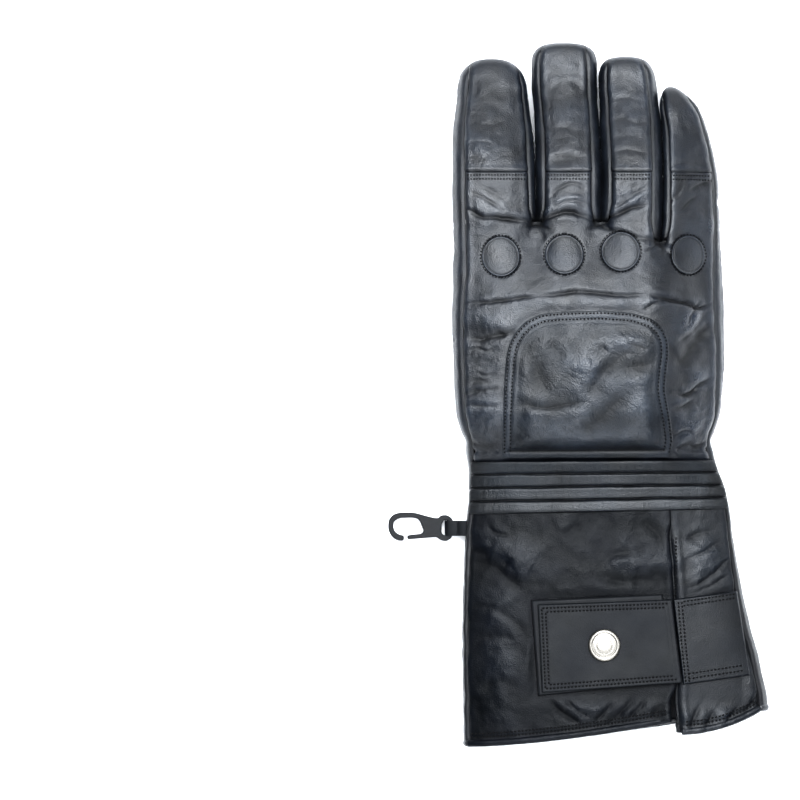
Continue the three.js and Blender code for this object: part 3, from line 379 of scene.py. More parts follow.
# Lines of the back, read off the photograph: seams first, then folds and swells
discs = [  # centre, radius across and along
    (500, 258, 8.8, 9.3), (563, 256, 9.0, 9.1), (619, 253, 9.0, 9.1), (687, 256, 8.0, 9.0),
]
padLine = [
    (502, 457), (502, 420), (503, 390), (505, 360), (508, 345), (515, 332), (525, 322), (540, 315),
    (560, 313), (600, 312), (630, 314), (650, 320), (660, 328), (666, 340), (667, 355), (665, 370),
    (663, 390), (668, 415), (672, 440), (669, 457),
]
backFolds = [  # depth, half width, puff beside it, points
    (1.5, 0.8, 0.45, [(463, 208), (472, 214), (482, 219), (500, 220), (515, 222), (533, 224)]),
    (1.3, 0.8, 0.5, [(538, 225), (550, 219), (565, 214), (580, 217), (592, 224)]),
    (1.5, 0.9, 0.5, [(600, 224), (615, 217), (628, 210), (648, 207)]),
    (0.4, 0.5, 0.25, [(466, 193), (480, 198), (496, 208), (510, 219)]),
    (0.2, 0.45, 0.1, [(472, 186), (489, 192), (504, 203)]),
    (0.5, 0.5, 0.3, [(546, 203), (556, 192), (568, 186), (580, 188), (588, 196)]),
    (0.45, 0.5, 0.25, [(550, 212), (566, 203), (584, 205)]),
    (0.6, 0.6, 0.3, [(648, 188), (636, 194), (622, 204), (608, 214)]),
    (0.25, 0.5, 0.15, [(642, 184), (628, 190), (614, 197)]),
    (0.9, 0.9, 0.4, [(686, 194), (698, 187), (716, 180)]),
    (0.8, 0.9, 0.4, [(676, 214), (688, 203), (700, 196)]),
    (0.7, 0.7, 0.35, [(655, 243), (664, 250), (672, 262)]),
    (0.6, 0.6, 0.3, [(652, 244), (640, 240), (628, 238)]),
    (0.45, 0.6, 0.25, [(598, 226), (610, 232), (622, 234), (640, 240)]),
    (0.45, 0.6, 0.25, [(534, 226), (540, 236), (545, 244)]),
    (1.4, 0.62, 0.3, [(460, 305), (480, 304), (500, 302), (520, 299), (540, 297)]),
    (1.3, 0.62, 0.25, [(530, 298), (560, 295), (575, 293), (600, 295), (622, 297), (650, 295)]),
    (1.5, 0.7, 0.4, [(645, 295), (670, 302), (685, 304), (697, 309), (714, 303)]),
    (0.6, 0.6, 0.3, [(640, 312), (652, 305), (664, 300)]),
    (1.3, 1.2, 0.7, [(463, 338), (478, 340), (490, 337), (508, 334), (516, 328)]),
    (0.4, 0.5, 0.25, [(464, 352), (476, 349), (486, 352), (497, 347)]),
    (0.4, 0.5, 0.2, [(463, 366), (472, 362), (480, 357)]),
    (0.45, 0.45, 0.2, [(474, 372), (484, 376), (496, 373)]),
    (0.65, 0.55, 0.4, [(463, 396), (473, 392), (482, 391), (500, 388)]),
    (0.4, 0.7, 0.4, [(463, 405), (484, 406), (502, 406)]),
    (0.3, 0.5, 0.2, [(468, 384), (478, 380), (487, 383)]),
    (0.5, 0.7, 0.3, [(700, 300), (690, 314), (684, 330)]),
    (0.4, 1.2, 0.3, [(676, 262), (690, 272), (704, 270)]),
    (0.5, 1.4, 0.35, [(672, 346), (688, 334), (702, 318), (714, 306)]),
    (0.45, 0.6, 0.25, [(676, 400), (690, 392), (706, 390)]),
    (0.5, 1.0, 0.3, [(664, 206), (674, 198), (684, 184)]),
    (0.9, 1.1, 0.5, [(468, 440), (482, 446), (498, 446)]),
    (1.5, 2.2, 0.8, [(668, 366), (680, 361), (690, 349), (700, 337), (713, 321)]),
    (1.0, 0.9, 0.6, [(668, 392), (685, 395), (700, 384), (714, 377)]),
    (0.8, 0.9, 0.5, [(669, 409), (681, 407), (692, 399)]),
    (0.8, 1.0, 0.5, [(674, 452), (686, 444), (696, 447), (706, 438)]),
    (0.5, 0.6, 0.3, [(672, 436), (684, 430), (692, 436)]),
    (0.7, 0.5, 0.2, [(535, 222), (529, 227), (520, 229)]),
    (0.7, 0.5, 0.2, [(535, 222), (541, 228), (549, 231)]),
    (0.7, 0.5, 0.2, [(598, 222), (592, 228), (584, 231)]),
    (0.7, 0.5, 0.2, [(598, 222), (604, 229), (612, 231)]),
    (0.7, 0.5, 0.2, [(657, 242), (650, 249), (642, 252)]),
    (0.7, 0.5, 0.2, [(657, 242), (661, 252), (662, 262)]),
    (0.35, 1.6, 0.15, [(548, 96), (560, 83), (575, 84), (590, 100)]),
    (0.6, 2.0, 0.1, [(544, 165), (566, 162), (588, 164)]),
    (0.3, 1.5, 0.15, [(466, 128), (476, 124), (490, 127), (508, 122)]),
    (0.2, 1.6, 0.1, [(470, 112), (486, 108), (506, 110)]),
    (0.3, 1.5, 0.15, [(609, 123), (622, 120), (636, 125), (650, 122)]),
    (0.2, 1.5, 0.1, [(610, 102), (626, 99), (644, 103)]),
    (0.25, 1.4, 0.12, [(610, 141), (628, 138), (648, 142)]),
    (0.25, 1.4, 0.1, [(546, 132), (560, 129), (576, 133), (588, 130)]),
    (0.3, 0.8, 0.15, [(466, 146), (480, 143), (494, 147)]),
    (0.25, 0.8, 0.1, [(668, 170), (684, 164), (704, 168)]),
    (0.35, 0.9, 0.2, [(548, 160), (560, 157), (586, 160)]),
    (0.3, 0.8, 0.15, [(610, 156), (624, 152), (648, 156)]),
    (0.25, 1.3, 0.15, [(466, 160), (476, 158), (486, 164)]),
]
backSwells = [  # height, centre, radii, turn
    (0.7, 490, 320, 13, 5, 4), (0.5, 600, 303, 30, 3, 0), (0.7, 690, 318, 8, 5, -30),
    (0.9, 486, 415, 9, 7, 0), (0.8, 694, 420, 8, 10, -60), (0.6, 690, 372, 8, 4, -35),
    (0.5, 484, 206, 8, 4, 0), (0.5, 570, 202, 7, 3.5, 0), (0.5, 624, 196, 7, 4, 20),
    (0.6, 480, 150, 7, 6, 0), (0.4, 567, 120, 6, 10, 0), (0.5, 630, 110, 7, 6, 0),
    (-0.7, 480, 331, 10, 3.4, 0), (-0.5, 676, 300, 8, 5, -30), (-0.5, 676, 350, 5, 9, -35),
    (0.4, 660, 288, 7, 4, 0), (0.4, 567, 80, 7, 2, 0), (-0.25, 532, 270, 5, 12, 0),
    (-0.25, 592, 275, 5, 10, 0), (0.5, 700, 230, 7, 6, 0), (-0.3, 655, 285, 6, 6, 0),
]
cuffFolds = [
    (1.0, 2.2, 0.6, [(466, 560), (485, 562), (497, 568), (508, 578), (520, 588), (532, 592)]),
    (0.7, 1.6, 0.4, [(466, 545), (478, 552), (492, 555)]),
    (0.6, 1.6, 0.4, [(500, 560), (512, 566), (520, 574)]),
    (0.5, 0.7, 0.3, [(486, 524), (496, 532), (510, 535)]),
    (0.5, 1.4, 0.3, [(560, 536), (572, 528), (585, 524)]),
    (0.5, 1.6, 0.3, [(600, 560), (620, 552), (650, 548)]),
    (0.8, 1.8, 0.5, [(590, 575), (620, 580), (650, 578), (668, 584)]),
    (0.7, 1.4, 0.4, [(640, 520), (652, 527), (664, 540)]),
    (0.6, 1.5, 0.4, [(646, 566), (656, 572), (668, 582)]),
    (0.9, 1.3, 0.5, [(546, 694), (556, 706), (570, 716), (582, 722)]),
    (0.6, 1.1, 0.4, [(562, 694), (576, 708), (590, 716)]),
    (0.9, 1.2, 0.5, [(606, 722), (618, 712), (630, 700), (638, 690)]),
    (0.8, 1.1, 0.5, [(626, 718), (638, 706), (648, 694)]),
    (0.6, 1.0, 0.4, [(594, 720), (606, 708), (616, 697)]),
    (0.9, 1.6, 0.6, [(648, 716), (660, 704), (667, 692)]),
    (0.5, 1.8, 0.3, [(470, 640), (495, 634), (520, 640)]),
    (0.5, 2.0, 0.3, [(475, 690), (500, 680), (525, 690)]),
    (0.5, 1.8, 0.3, [(466, 600), (490, 606), (515, 620), (528, 640)]),
    (0.7, 1.0, 0.5, [(690, 728), (694, 714), (702, 700), (712, 688)]),
    (0.8, 1.1, 0.5, [(704, 730), (712, 712), (722, 700), (736, 690)]),
    (0.6, 1.0, 0.4, [(722, 726), (734, 710), (744, 698)]),
    (0.6, 1.0, 0.4, [(742, 718), (750, 706), (758, 690)]),
    (0.8, 1.1, 0.5, [(684, 588), (700, 582), (716, 570), (728, 556)]),
    (0.6, 0.9, 0.4, [(690, 594), (712, 584), (730, 572)]),
    (0.5, 0.9, 0.3, [(682, 560), (700, 552), (722, 540)]),
    (0.5, 0.7, 0.3, [(684, 540), (698, 533), (716, 530)]),
]
cuffSwells = [
    (1.0, 655, 690, 8, 6, 40), (0.8, 520, 560, 12, 8, -20), (0.7, 640, 560, 14, 6, 0),
    (0.8, 500, 650, 8, 30, 0), (0.6, 590, 705, 8, 6, 0), (0.9, 725, 700, 6, 9, -30),
    (0.8, 705, 555, 8, 8, 20), (-0.6, 480, 570, 10, 4, 20),
]
padFolds = [
    (1.1, 3.4, 0.3, [(524, 334), (530, 352), (537, 372), (548, 392), (566, 397), (586, 394)]),
    (0.9, 1.9, 0.3, [(584, 396), (594, 384), (606, 368), (620, 356), (634, 352)]),
    (0.8, 1.6, 0.4, [(600, 376), (618, 368), (640, 366), (662, 360)]),
    (0.3, 1.1, 0.2, [(596, 344), (606, 352), (618, 356)]),
    (0.8, 1.1, 0.5, [(510, 405), (525, 405), (545, 408), (575, 403), (590, 401)]),
    (1.1, 2.6, 0.6, [(576, 436), (590, 425), (602, 414), (616, 400), (630, 390)]),
    (0.5, 1.5, 0.3, [(546, 340), (556, 352), (566, 360)]),
    (0.5, 1.2, 0.3, [(512, 424), (522, 432), (532, 440)]),
    (0.4, 0.6, 0.2, [(620, 340), (634, 346), (646, 352)]),
]
padSwells = [
    (1.0, 583, 370, 7, 6, 20), (0.7, 630, 342, 9, 4, -10), (0.6, 560, 425, 14, 6, 0),
    (0.6, 640, 410, 9, 9, 0), (0.5, 590, 436, 34, 4, 2), (0.5, 522, 372, 4, 8, 0),
    (0.5, 640, 380, 9, 3, 10),
]
crumples = [  # amount, centre and radii in pixels, stretch and angle of the fine wrinkles
    (0.26, 484, 372, 24, 34, 1.5, 0.3), (0.24, 484, 425, 20, 24, 1.3, -0.6),
    (0.32, 692, 402, 22, 40, 2.0, 0.7), (0.25, 494, 200, 26, 12, 2.2, -0.5),
    (0.25, 568, 200, 24, 14, 1.6, 0), (0.28, 626, 195, 22, 16, 2.2, 0.6), (0.28, 704, 200, 14, 16, 2, 0.4),
    (0.22, 655, 240, 16, 14, 2, -0.8), (0.25, 690, 322, 22, 14, 1.6, 0.6),
    (0.3, 712, 560, 26, 30, 2.4, 0.5), (0.36, 725, 700, 30, 24, 2.4, 0.9),
    (0.3, 640, 700, 30, 20, 2.2, 0.8), (0.2, 490, 138, 22, 30, 1.6, 0.2), (0.2, 566, 128, 20, 34, 1.6, 1.2),
    (0.2, 630, 130, 20, 30, 1.8, 0.1), (0.16, 690, 150, 18, 34, 1.6, 0.8),
    (0.2, 530, 280, 40, 14, 2.2, 0.3), (0.2, 640, 275, 40, 16, 2.2, -0.4),
    (0.22, 560, 308, 60, 8, 2.6, 0.1), (0.22, 640, 560, 40, 26, 1.6, 0.2),
    (0.22, 500, 718, 34, 20, 2.4, -0.8), (0.2, 485, 540, 24, 20, 1.6, -0.4),
]
padCrumples = [
    (0.26, 616, 350, 36, 20, 1.8, -0.6), (0.2, 560, 432, 36, 18, 2.0, -0.8),
    (0.2, 530, 350, 20, 26, 1.8, 1.0), (0.24, 645, 375, 20, 22, 1.8, 0.3),
    (0.22, 580, 372, 22, 14, 1.6, -0.4), (0.2, 640, 425, 24, 24, 2.2, 0.5),
]
padEdge = spots(padLine)


def crumpled(x, y, rows):
    # patches of fine broken wrinkles
    total = np.zeros(np.shape(x))
    for n, (amount, px, py, rx, ry, stretch, angle) in enumerate(rows):
        cx, cy = spot(px, py)
        near = np.exp(-((x - cx) / (rx * 0.42)) ** 2 - ((y - cy) / (ry * 0.42)) ** 2)
        inside = near > 0.03
        if not inside.any():
            continue
        u, v = x[inside], y[inside]
        c, s = math.cos(angle), math.sin(angle)
        a, b = (c * u + s * v) / stretch, -s * u + c * v
        lines = hump(np.abs(noise(a, b, 2.9, 700 + n)), 0.16)
        broken = smooth(-0.15, 0.45, noise(a, b, 5, 720 + n))
        total[inside] += near[inside] * amount * (0.8 * layers(a, b, 3.8, 2, 740 + n) - 0.55 * lines * broken)
    return total


def discPull(x, y):
    # the stitched groove round each disc
    total = np.zeros(np.shape(x))
    for px, py, wide, long in discs:
        cx, cy = spot(px, py)
        r = np.hypot((x - cx) / (wide - 0.05), (y - cy) / (long - 0.05))
        total -= 0.3 * hump(r - 1.02, 0.045) + 0.9 * (r < 0.965)
    return total


def inPad(x, y):
    # distance inside the pad's outer stitch row, negative outside it
    d, _, hand = toLine(x, y, padEdge)
    return np.where((hand < 0) & (y > 10), d, -d)


def broadWave(x, y):
    # the slow unevenness that every piece on the back shares
    return 0.5 * layers(x, y, 24, 2, 1)


# raised folds lighter as rubbed wear and painted highlight, valleys darker as painted shade; the broad wave is
# left out
def paintedLightAndWearFrom(relief, x, y):
    return (relief - broadWave(x, y)) * 1.1


def backRelief(x, y):
    x, y = together(x, y)
    broad = broadWave(x, y) + 0.27 * layers(x, y, 8.5, 2, 5)
    calm = smooth(0.0, 0.5, noise(x, y, 19, 41) + 0.2)
    fine = 0.11 * crinkle(x, y, 5.2, 2, 1.5, 0.5) * calm + 0.07 * crinkle(x, y, 2.4, 6) * (0.3 + calm)
    # the grain stretched along fingers
    fine += 0.035 * layers(2.6 * x, 0.7 * y, 2.6, 2, 12) * smooth(135, 165, y)
    hand = creases(x, y, backFolds) + swells(x, y, backSwells) + crumpled(x, y, crumples)
    cuff = crumpled(x, y, crumples) + 0.95 * creases(x, y, cuffFolds, 1.2) + 1.3 * swells(x, y, cuffSwells)
    busy = smooth(0, 20, y) * (1 - smooth(150, 172, y))
    return broad * mix(1.2, 1, busy) + fine * mix(0.75, 1, busy) + np.where(y > 0, hand, cuff)


def soleRelief(x, y):
    # the palm side lies on its own weight, so its folds go up into the glove
    x, y = together(x, y)
    fans = np.abs(np.sin((x + 5 * noise(x, y, 30, 51)) * math.pi / 10.5)) ** 1.6
    gather = 1.7 * fans * np.exp(-(np.abs(y) / 15) ** 1.3) + 0.9 * hump(y, 1.3)
    soft = 0.35 * (1 + layers(x, y, 26, 2, 61)) + 0.06 * layers(x, y, 7, 2, 63)
    return gather + soft - 0.05 * crinkle(x, y, 5, 66, 1.6, 1.2)


# Meshes
def toMetres(points):
    points = np.asarray(points, float).reshape(-1, 3)
    return (points + np.array([wristX, wristY, 0])) / 1000


def meshPiece(name, points, faces, material, nodes=(), wearAndPaintedLightValues=None):
    mesh = bpy.data.meshes.new(name)
    points = np.asarray(points, float).reshape(-1, 3) * 1.0
    points[:, 2] = np.maximum(points[:, 2], 0 if "stitches" in name else 0.04)
    mesh.from_pydata(toMetres(points).tolist(), [], faces if isinstance(faces, list) else faces.tolist())
    mesh.update()
    mesh.polygons.foreach_set("use_smooth", [True] * len(mesh.polygons))
    if wearAndPaintedLightValues is not None:
        # the per-point value the leather material reads: real wear together with painted highlight where
        # positive and painted shade where negative
        layer = mesh.attributes.new("wearAndPaintedLight", "FLOAT", "POINT")
        layer.data.foreach_set("value", np.asarray(wearAndPaintedLightValues, float).ravel())
    piece = bpy.data.objects.new(name, mesh)
    bpy.context.collection.objects.link(piece)
    mesh.materials.append(material)
    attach(piece, "root")
    if nodes:
        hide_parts(*nodes)
    return piece


def gridFaces(rows, columns, ring=False):
    j, i = np.meshgrid(np.arange(rows - 1), np.arange(columns - (0 if ring else 1)), indexing="ij")
    a = (j * columns + i).ravel()
    b = (j * columns + (i + 1) % columns).ravel()
    return np.stack([a, b, b + columns, a + columns], 1)


def facing(x, up):
    return np.stack([0 * x, 0 * x, 0 * x + up], -1)


def faced(points, faces, outward):
    # turns the faces so that they look along outward
    p = np.asarray(points, float).reshape(-1, 3)
    q = np.asarray(faces)
    normal = np.cross(p[q[:, 2]] - p[q[:, 0]], p[q[:, 3]] - p[q[:, 1]])
    side = (normal * np.asarray(outward, float).reshape(-1, 3)[q[:, 0]]).sum()
    return q if side > 0 else q[:, ::-1]


def sheetPiece(name, points, outward, material, nodes, wearAndPaintedLightValues=None, ring=False, lining=None):
    # a grid of points; with a lining, a second face that many millimetres inside it
    rows, columns = points.shape[:2]
    faces = faced(points, gridFaces(rows, columns, ring), outward)
    flatPoints = points.reshape(-1, 3)
    if lining is None:
        return meshPiece(name, flatPoints, faces, material, nodes, wearAndPaintedLightValues)
    away = outward / np.maximum(np.linalg.norm(outward, axis=-1, keepdims=True), 1e-6)
    inner = (points - lining[0] * away).reshape(-1, 3)
    count = len(flatPoints)
    both = np.concatenate([faces, faces[:, ::-1] + count])
    edge = [np.arange(columns), np.arange(columns) + (rows - 1) * columns]
    if not ring:
        edge += [np.arange(rows) * columns, np.arange(rows) * columns + columns - 1]
    for line in edge:
        both = np.concatenate([both, np.stack([line[:-1], line[1:], line[1:] + count, line[:-1] + count], 1)])
    wearAndPaintedLight = None if wearAndPaintedLightValues is None else np.concatenate([np.ravel(wearAndPaintedLightValues), np.zeros(count)])
    piece = meshPiece(name, np.concatenate([flatPoints, inner]), both, material, nodes, wearAndPaintedLight)
    piece.data.materials.append(lining[1])
    inside = np.zeros(len(both), int)
    inside[len(faces):2 * len(faces)] = 1
    piece.data.polygons.foreach_set("material_index", inside)
    return piece


def pathPoints(line, pitch):
    # even points and headings along a line of places
    line = np.asarray(line, float)
    long = lengthAlong(line)
    count = max(int(long[-1] / pitch), 1)
    at = (np.arange(count) + 0.5) * long[-1] / count
    x, y = np.interp(at, long, line[:, 0]), np.interp(at, long, line[:, 1])
    ahead = [np.interp(at + 0.4, long, line[:, k]) - np.interp(at - 0.4, long, line[:, k]) for k in (0, 1)]
    return x, y, np.arctan2(ahead[1], ahead[0])


trees = {}


def onTop(*names, side=1):
    # height of the named pieces at any place, seen from above or, with side -1, from below
    for name in names:
        if name not in trees:
            trees[name] = BVHTree.FromObject(bpy.data.objects[name], bpy.context.evaluated_depsgraph_get())

    def height(x, y):
        out = np.zeros(np.shape(x))
        for i, (px, py) in enumerate(zip(np.ravel(x), np.ravel(y))):
            spotAt = Vector(((px + wristX) / 1000, (py + wristY) / 1000, 0.2 * side))
            hits = [trees[name].ray_cast(spotAt, Vector((0, 0, -side)))[0] for name in names]
            hits = [hit.z for hit in hits if hit is not None]
            out.flat[i] = 1000 * (max(hits) if side > 0 else min(hits)) if hits else np.nan
        return out
    return height


def sewn(name, lines, surface, pitch=1.6, long=1.1, thick=0.66, side=1, sink=0.1):
    # every stitch is a short fat thread that dives into the leather at both ends
    sides, rings = 6, 5
    t = np.linspace(-1, 1, rings)
    spin = np.linspace(0, 2 * math.pi, sides, endpoint=False)
    ring = np.sqrt(np.clip(1.12 - t ** 2, 0.08, 1))
    local = np.stack([
        np.repeat(t * long / 2, sides),
        (ring[:, None] * np.cos(spin)[None] * thick / 2).ravel(),
        (ring[:, None] * np.sin(spin)[None] * thick / 2 - (0.32 * t ** 2)[:, None]).ravel(),
    ], 1)
    faces = gridFaces(rings, sides, True)
    caps = [list(range(sides))[::-1], [sides * (rings - 1) + s for s in range(sides)]]
    allPoints, allFaces, start = [], [], 0
    for line in lines:
        x, y, heading = pathPoints(line, pitch)
        heading = heading + 0.12
        c, s = np.cos(heading), np.sin(heading)
        z = surface(x, y)
        ahead = (surface(x + 0.6 * c, y + 0.6 * s) - surface(x - 0.6 * c, y - 0.6 * s)) / 1.2
        across = (surface(x - 0.5 * s, y + 0.5 * c) - surface(x + 0.5 * s, y - 0.5 * c))
        good = np.isfinite(z + ahead + across) & (np.abs(ahead) < 1.5)
        x, y, z, c, s, ahead, across = [v[good] for v in (x, y, z, c, s, ahead, across)]
        tangent = np.stack([c, s, ahead], 1)
        tangent /= np.linalg.norm(tangent, axis=1, keepdims=True)
        beside = np.stack([-s, c, across], 1)
        up = np.cross(tangent, beside)
        up *= side / np.linalg.norm(up, axis=1, keepdims=True)
        beside = np.cross(up, tangent)
        centre = np.stack([x, y, z], 1) + up * (thick / 2 - sink)
        for i in range(len(x)):
            allPoints.append(centre[i] + local @ np.stack([tangent[i], beside[i], up[i]]))
            allFaces += (faces + start).tolist() + [[start + v for v in cap] for cap in caps]
            start += len(local)
    return meshPiece(name, np.concatenate(allPoints), allFaces, threadBlack)


# Materials
def linear(code):
    parts = [int(code[i:i + 2], 16) / 255 for i in (1, 3, 5)]
    return [c / 12.92 if c <= 0.04045 else ((c + 0.055) / 1.055) ** 2.4 for c in parts] + [1]


def addNode(tree, kind, settings=None, links=None):
    # settings by socket or property name; links from socket names to another node's output
    node = tree.nodes.new(kind)
    for key, value in (settings or {}).items():
        if isinstance(key, int) or key in node.inputs:
            node.inputs[key].default_value = value
        else:
            setattr(node, key, value)
    for key, source in (links or {}).items():
        tree.links.new(source, node.inputs[key])
    return node


def finish(name, look, sockets):
    # look gives back what it links to the shader; sockets holds what is the same all over
    made = bpy.data.materials.new(name)
    made.use_nodes = True
    tree = made.node_tree
    shader = tree.nodes["Principled BSDF"]
    for socket, value in sockets.items():
        shader.inputs[socket].default_value = value
    for socket, source in look(tree).items():
        tree.links.new(source, shader.inputs[socket])
    return made


def ramp(tree, source, low, high, colours):
    node = addNode(tree, "ShaderNodeValToRGB", links={"Fac": source})
    for element, place, colour in zip(node.color_ramp.elements, (low, high), colours):
        element.position, element.color = place, linear(colour)
    return node.outputs["Color"]


def nappaLook(deep, face, rubbedAndLitColour, rough, bump, grain, pore=0.32):
    # grain and pore in millimetres
    def look(tree):
        where = {"Vector": addNode(tree, "ShaderNodeTexCoord").outputs["Object"]}
        wearAndPaintedLight = {"Value": addNode(tree, "ShaderNodeAttribute", {"attribute_name": "wearAndPaintedLight"}).outputs["Fac"]}
        patch = addNode(tree, "ShaderNodeTexNoise", {"Scale": 55, "Detail": 4, "Roughness": 0.6}, where)
        patch = patch.outputs["Fac"]
        speck = addNode(tree, "ShaderNodeTexNoise", {"Scale": 900, "Detail": 3}, where)
        # the rubbed colour lies on folds, rolls and edges where the per-point value is positive: partly real
        # wear, partly painted highlight
        up = addNode(tree, "ShaderNodeMapRange", {"From Min": 0.1, "From Max": 1.2, "To Max": 0.75}, wearAndPaintedLight)
        broken = addNode(tree, "ShaderNodeMath", {"operation": "MULTIPLY"},
                         {0: up.outputs["Result"], 1: speck.outputs["Fac"]})
        lit = addNode(tree, "ShaderNodeMix", {"data_type": "RGBA", 7: linear(rubbedAndLitColour)},
                      {0: broken.outputs[0], 6: ramp(tree, patch, 0.36, 0.66, (deep, face))})
        # painted shade: where the per-point value is negative (valleys, creases, tucked edges, crotches) the
        # colour is mixed towards near-black #050608
        down = addNode(tree, "ShaderNodeMapRange", {"From Min": 0, "From Max": -1.2, "To Max": 0.85}, wearAndPaintedLight)
        shade = addNode(tree, "ShaderNodeMix", {"data_type": "RGBA", 7: linear("#050608")},
                        {0: down.outputs["Result"], 6: lit.outputs[2]})
        # rubbed high places are polished, valleys stay dull
        gloss = addNode(tree, "ShaderNodeMapRange", {
            "From Min": 0.3, "From Max": 0.7, "To Min": rough - 0.05, "To Max": rough + 0.07}, {"Value": patch})
        polish = addNode(tree, "ShaderNodeMapRange", {
            "From Min": -1.0, "From Max": 1.0, "To Min": 0.2, "To Max": -0.09}, wearAndPaintedLight)
        dull = addNode(tree, "ShaderNodeMath", {"operation": "ADD"},
                       {0: gloss.outputs["Result"], 1: polish.outputs["Result"]})
        # pebbled grain, cut by finer pores and short wrinkles
        pebble = addNode(tree, "ShaderNodeTexVoronoi", {"Scale": 1000 / grain, "Randomness": 1}, where)
        pores = addNode(tree, "ShaderNodeTexNoise", {"Scale": 1000 / pore / 2, "Detail": 2}, where)
        wrinkle = addNode(tree, "ShaderNodeTexNoise", {
            "Scale": 380, "Detail": 5, "Roughness": 0.65, "Distortion": 0.6}, where)
        fine = addNode(tree, "ShaderNodeMath", {"operation": "MULTIPLY_ADD", 1: 0.6},
                       {0: pores.outputs["Fac"], 2: pebble.outputs["Distance"]})
        height = addNode(tree, "ShaderNodeMath", {"operation": "MULTIPLY_ADD", 1: 1.1},
                         {0: wrinkle.outputs["Fac"], 2: fine.outputs[0]})
        raised = addNode(tree, "ShaderNodeBump", {"Strength": bump, "Distance": 0.00022},
                         {"Height": height.outputs[0]})
        return {"Base Color": shade.outputs[2], "Roughness": dull.outputs[0],
                "Normal": raised.outputs["Normal"]}
    return look


def nappa(name, shine, *values):
    return finish(name, nappaLook(*values), {
        "IOR": 1.5, "Specular IOR Level": shine, "Sheen Weight": 0.02, "Sheen Roughness": 0.45,
        "Sheen Tint": linear("#9aa3b0")})


# Drum-dyed, lightly corrected cowhide: soft sheen, pebbled grain, greyer where it is rubbed and where
# highlights are painted on folds and rolls.
# After the name: shine, then the deep, the face and the rubbed-and-lit colour, roughness, bump, grain.
backNappa = nappa("drumDyedNappa", 0.5, "#05070c", "#11151c", "#343a43", 0.36, 0.45, 0.5)
# drawn smooth over foam, so it shines most on the knuckles and less on the worn pad and ribs
paddedNappa = nappa("foamBackedNappa", 0.5, "#06090e", "#131820", "#3a404a", 0.34, 0.45, 0.5)
ribNappa = nappa("foamBackedRibNappa", 0.4, "#05070a", "#101419", "#2d3238", 0.38, 0.45, 0.5)
padNappa = nappa("foamBackedPadNappa", 0.39, "#06090e", "#12171e", "#363c45", 0.36, 0.45, 0.5)
# ironed smooth for grip: neutral black, flat grain
palmNappa = nappa("glazedPalmNappa", 0.36, "#08080b", "#131418", "#25272b", 0.36, 0.3, 0.7)
# softer and duller than the hand, nearly black, its colours also darkened as painted shade for the lesser light
# on the cuff; the gusset beside the slit is a little glossier
shadedCuffNappa = nappa("softCuffNappa", 0.15, "#040609", "#090b10", "#161a21", 0.38, 0.4, 0.5)
sideNappa = nappa("softCuffSideNappa", 0.28, "#05070b", "#0d1015", "#1d2229", 0.38, 0.4, 0.5)
# thick chrome-tanned strap leather, rolled flat: matt with a faint even grain
strapLeather = nappa("rolledStrapLeather", 0.27, "#0c0e11", "#121418", "#23262a", 0.55, 0.3, 0.5)


def oneTexture(kind, settings, colours=None, gloss=None, relief=None):
    # one texture drives the colour, the gloss and the relief
    def look(tree):
        where = addNode(tree, "ShaderNodeTexCoord").outputs["Object"]
        source = addNode(tree, kind, settings, {"Vector": where}).outputs["Fac"]
        links = {"Normal": addNode(tree, "ShaderNodeBump", {"Strength": relief[0], "Distance": relief[1]},
                                   {"Height": source}).outputs["Normal"]}
        if colours:
            links["Base Color"] = ramp(tree, source, *colours)
        if gloss:
            links["Roughness"] = addNode(tree, "ShaderNodeMapRange", {"To Min": gloss[0], "To Max": gloss[1]},
                                         {"Value": source}).outputs["Result"]
        return links
    return look


# bonded nylon thread: twisted plies show as slanting ribs, and it takes no shine
threadBlack = finish("bondedNylonThread", oneTexture(
    "ShaderNodeTexWave", {"Scale": 900, "Distortion": 1, "bands_direction": "DIAGONAL"},
    (0.2, 0.8, ("#030304", "#0b0c0e")), relief=(0.5, 0.00008)),
    {"Roughness": 0.9, "Specular IOR Level": 0.25, "IOR": 1.53})
# brushed tricot lining: soft, short nap
lining = finish("brushedTricotLining", oneTexture(
    "ShaderNodeTexNoise", {"Scale": 1600, "Detail": 3}, (0.3, 0.7, ("#08080a", "#17181b")),
    relief=(0.7, 0.0003)),
    {"Roughness": 0.95, "Sheen Weight": 0.3})
# pressed brass cap, nickel plated: bright metal, softened by fine handling scratches
nickelPlate = finish("brightNickelPlate", oneTexture(
    "ShaderNodeTexNoise", {"Scale": 700, "Detail": 5, "Distortion": 2}, gloss=(0.34, 0.48),
    relief=(0.15, 0.00005)),
    {"Base Color": linear("#7d7a75"), "Metallic": 1})
# moulded black acetal: smooth, a little waxy, with faint flow marks
acetal = finish("mouldedAcetal", oneTexture(
    "ShaderNodeTexNoise", {"Scale": 450, "Detail": 4}, (0.3, 0.7, ("#0a0a0c", "#141518")), (0.45, 0.58),
    (0.2, 0.00006)), {"IOR": 1.48, "Specular IOR Level": 0.25})
print("materials made")


# The hand's grid: four strips, one a finger, and a web between each two
def outerSeamX(side, y):
    t = trunk(y)
    f = 0 if side < 0 else 3
    own = t["left"] + t["insetLeft"] if side < 0 else t["right"] - t["insetRight"]
    return mix(own, seamX(f, side, y), smooth(blendShare * handLong, handLong, y))


def betweenSeams(y, share):
    # x at a share of the way from the index side's seam to the little finger's
    return mix(outerSeamX(-1, y), outerSeamX(1, y), share)


def columnX(f, across, y):
    mid, wide, _ = fingerAt(f, y)
    low, high = np.abs(seamShare(f, -1, y)), np.abs(seamShare(f, 1, y))
    return mid + across * np.where(across < 0, low, high) * wide


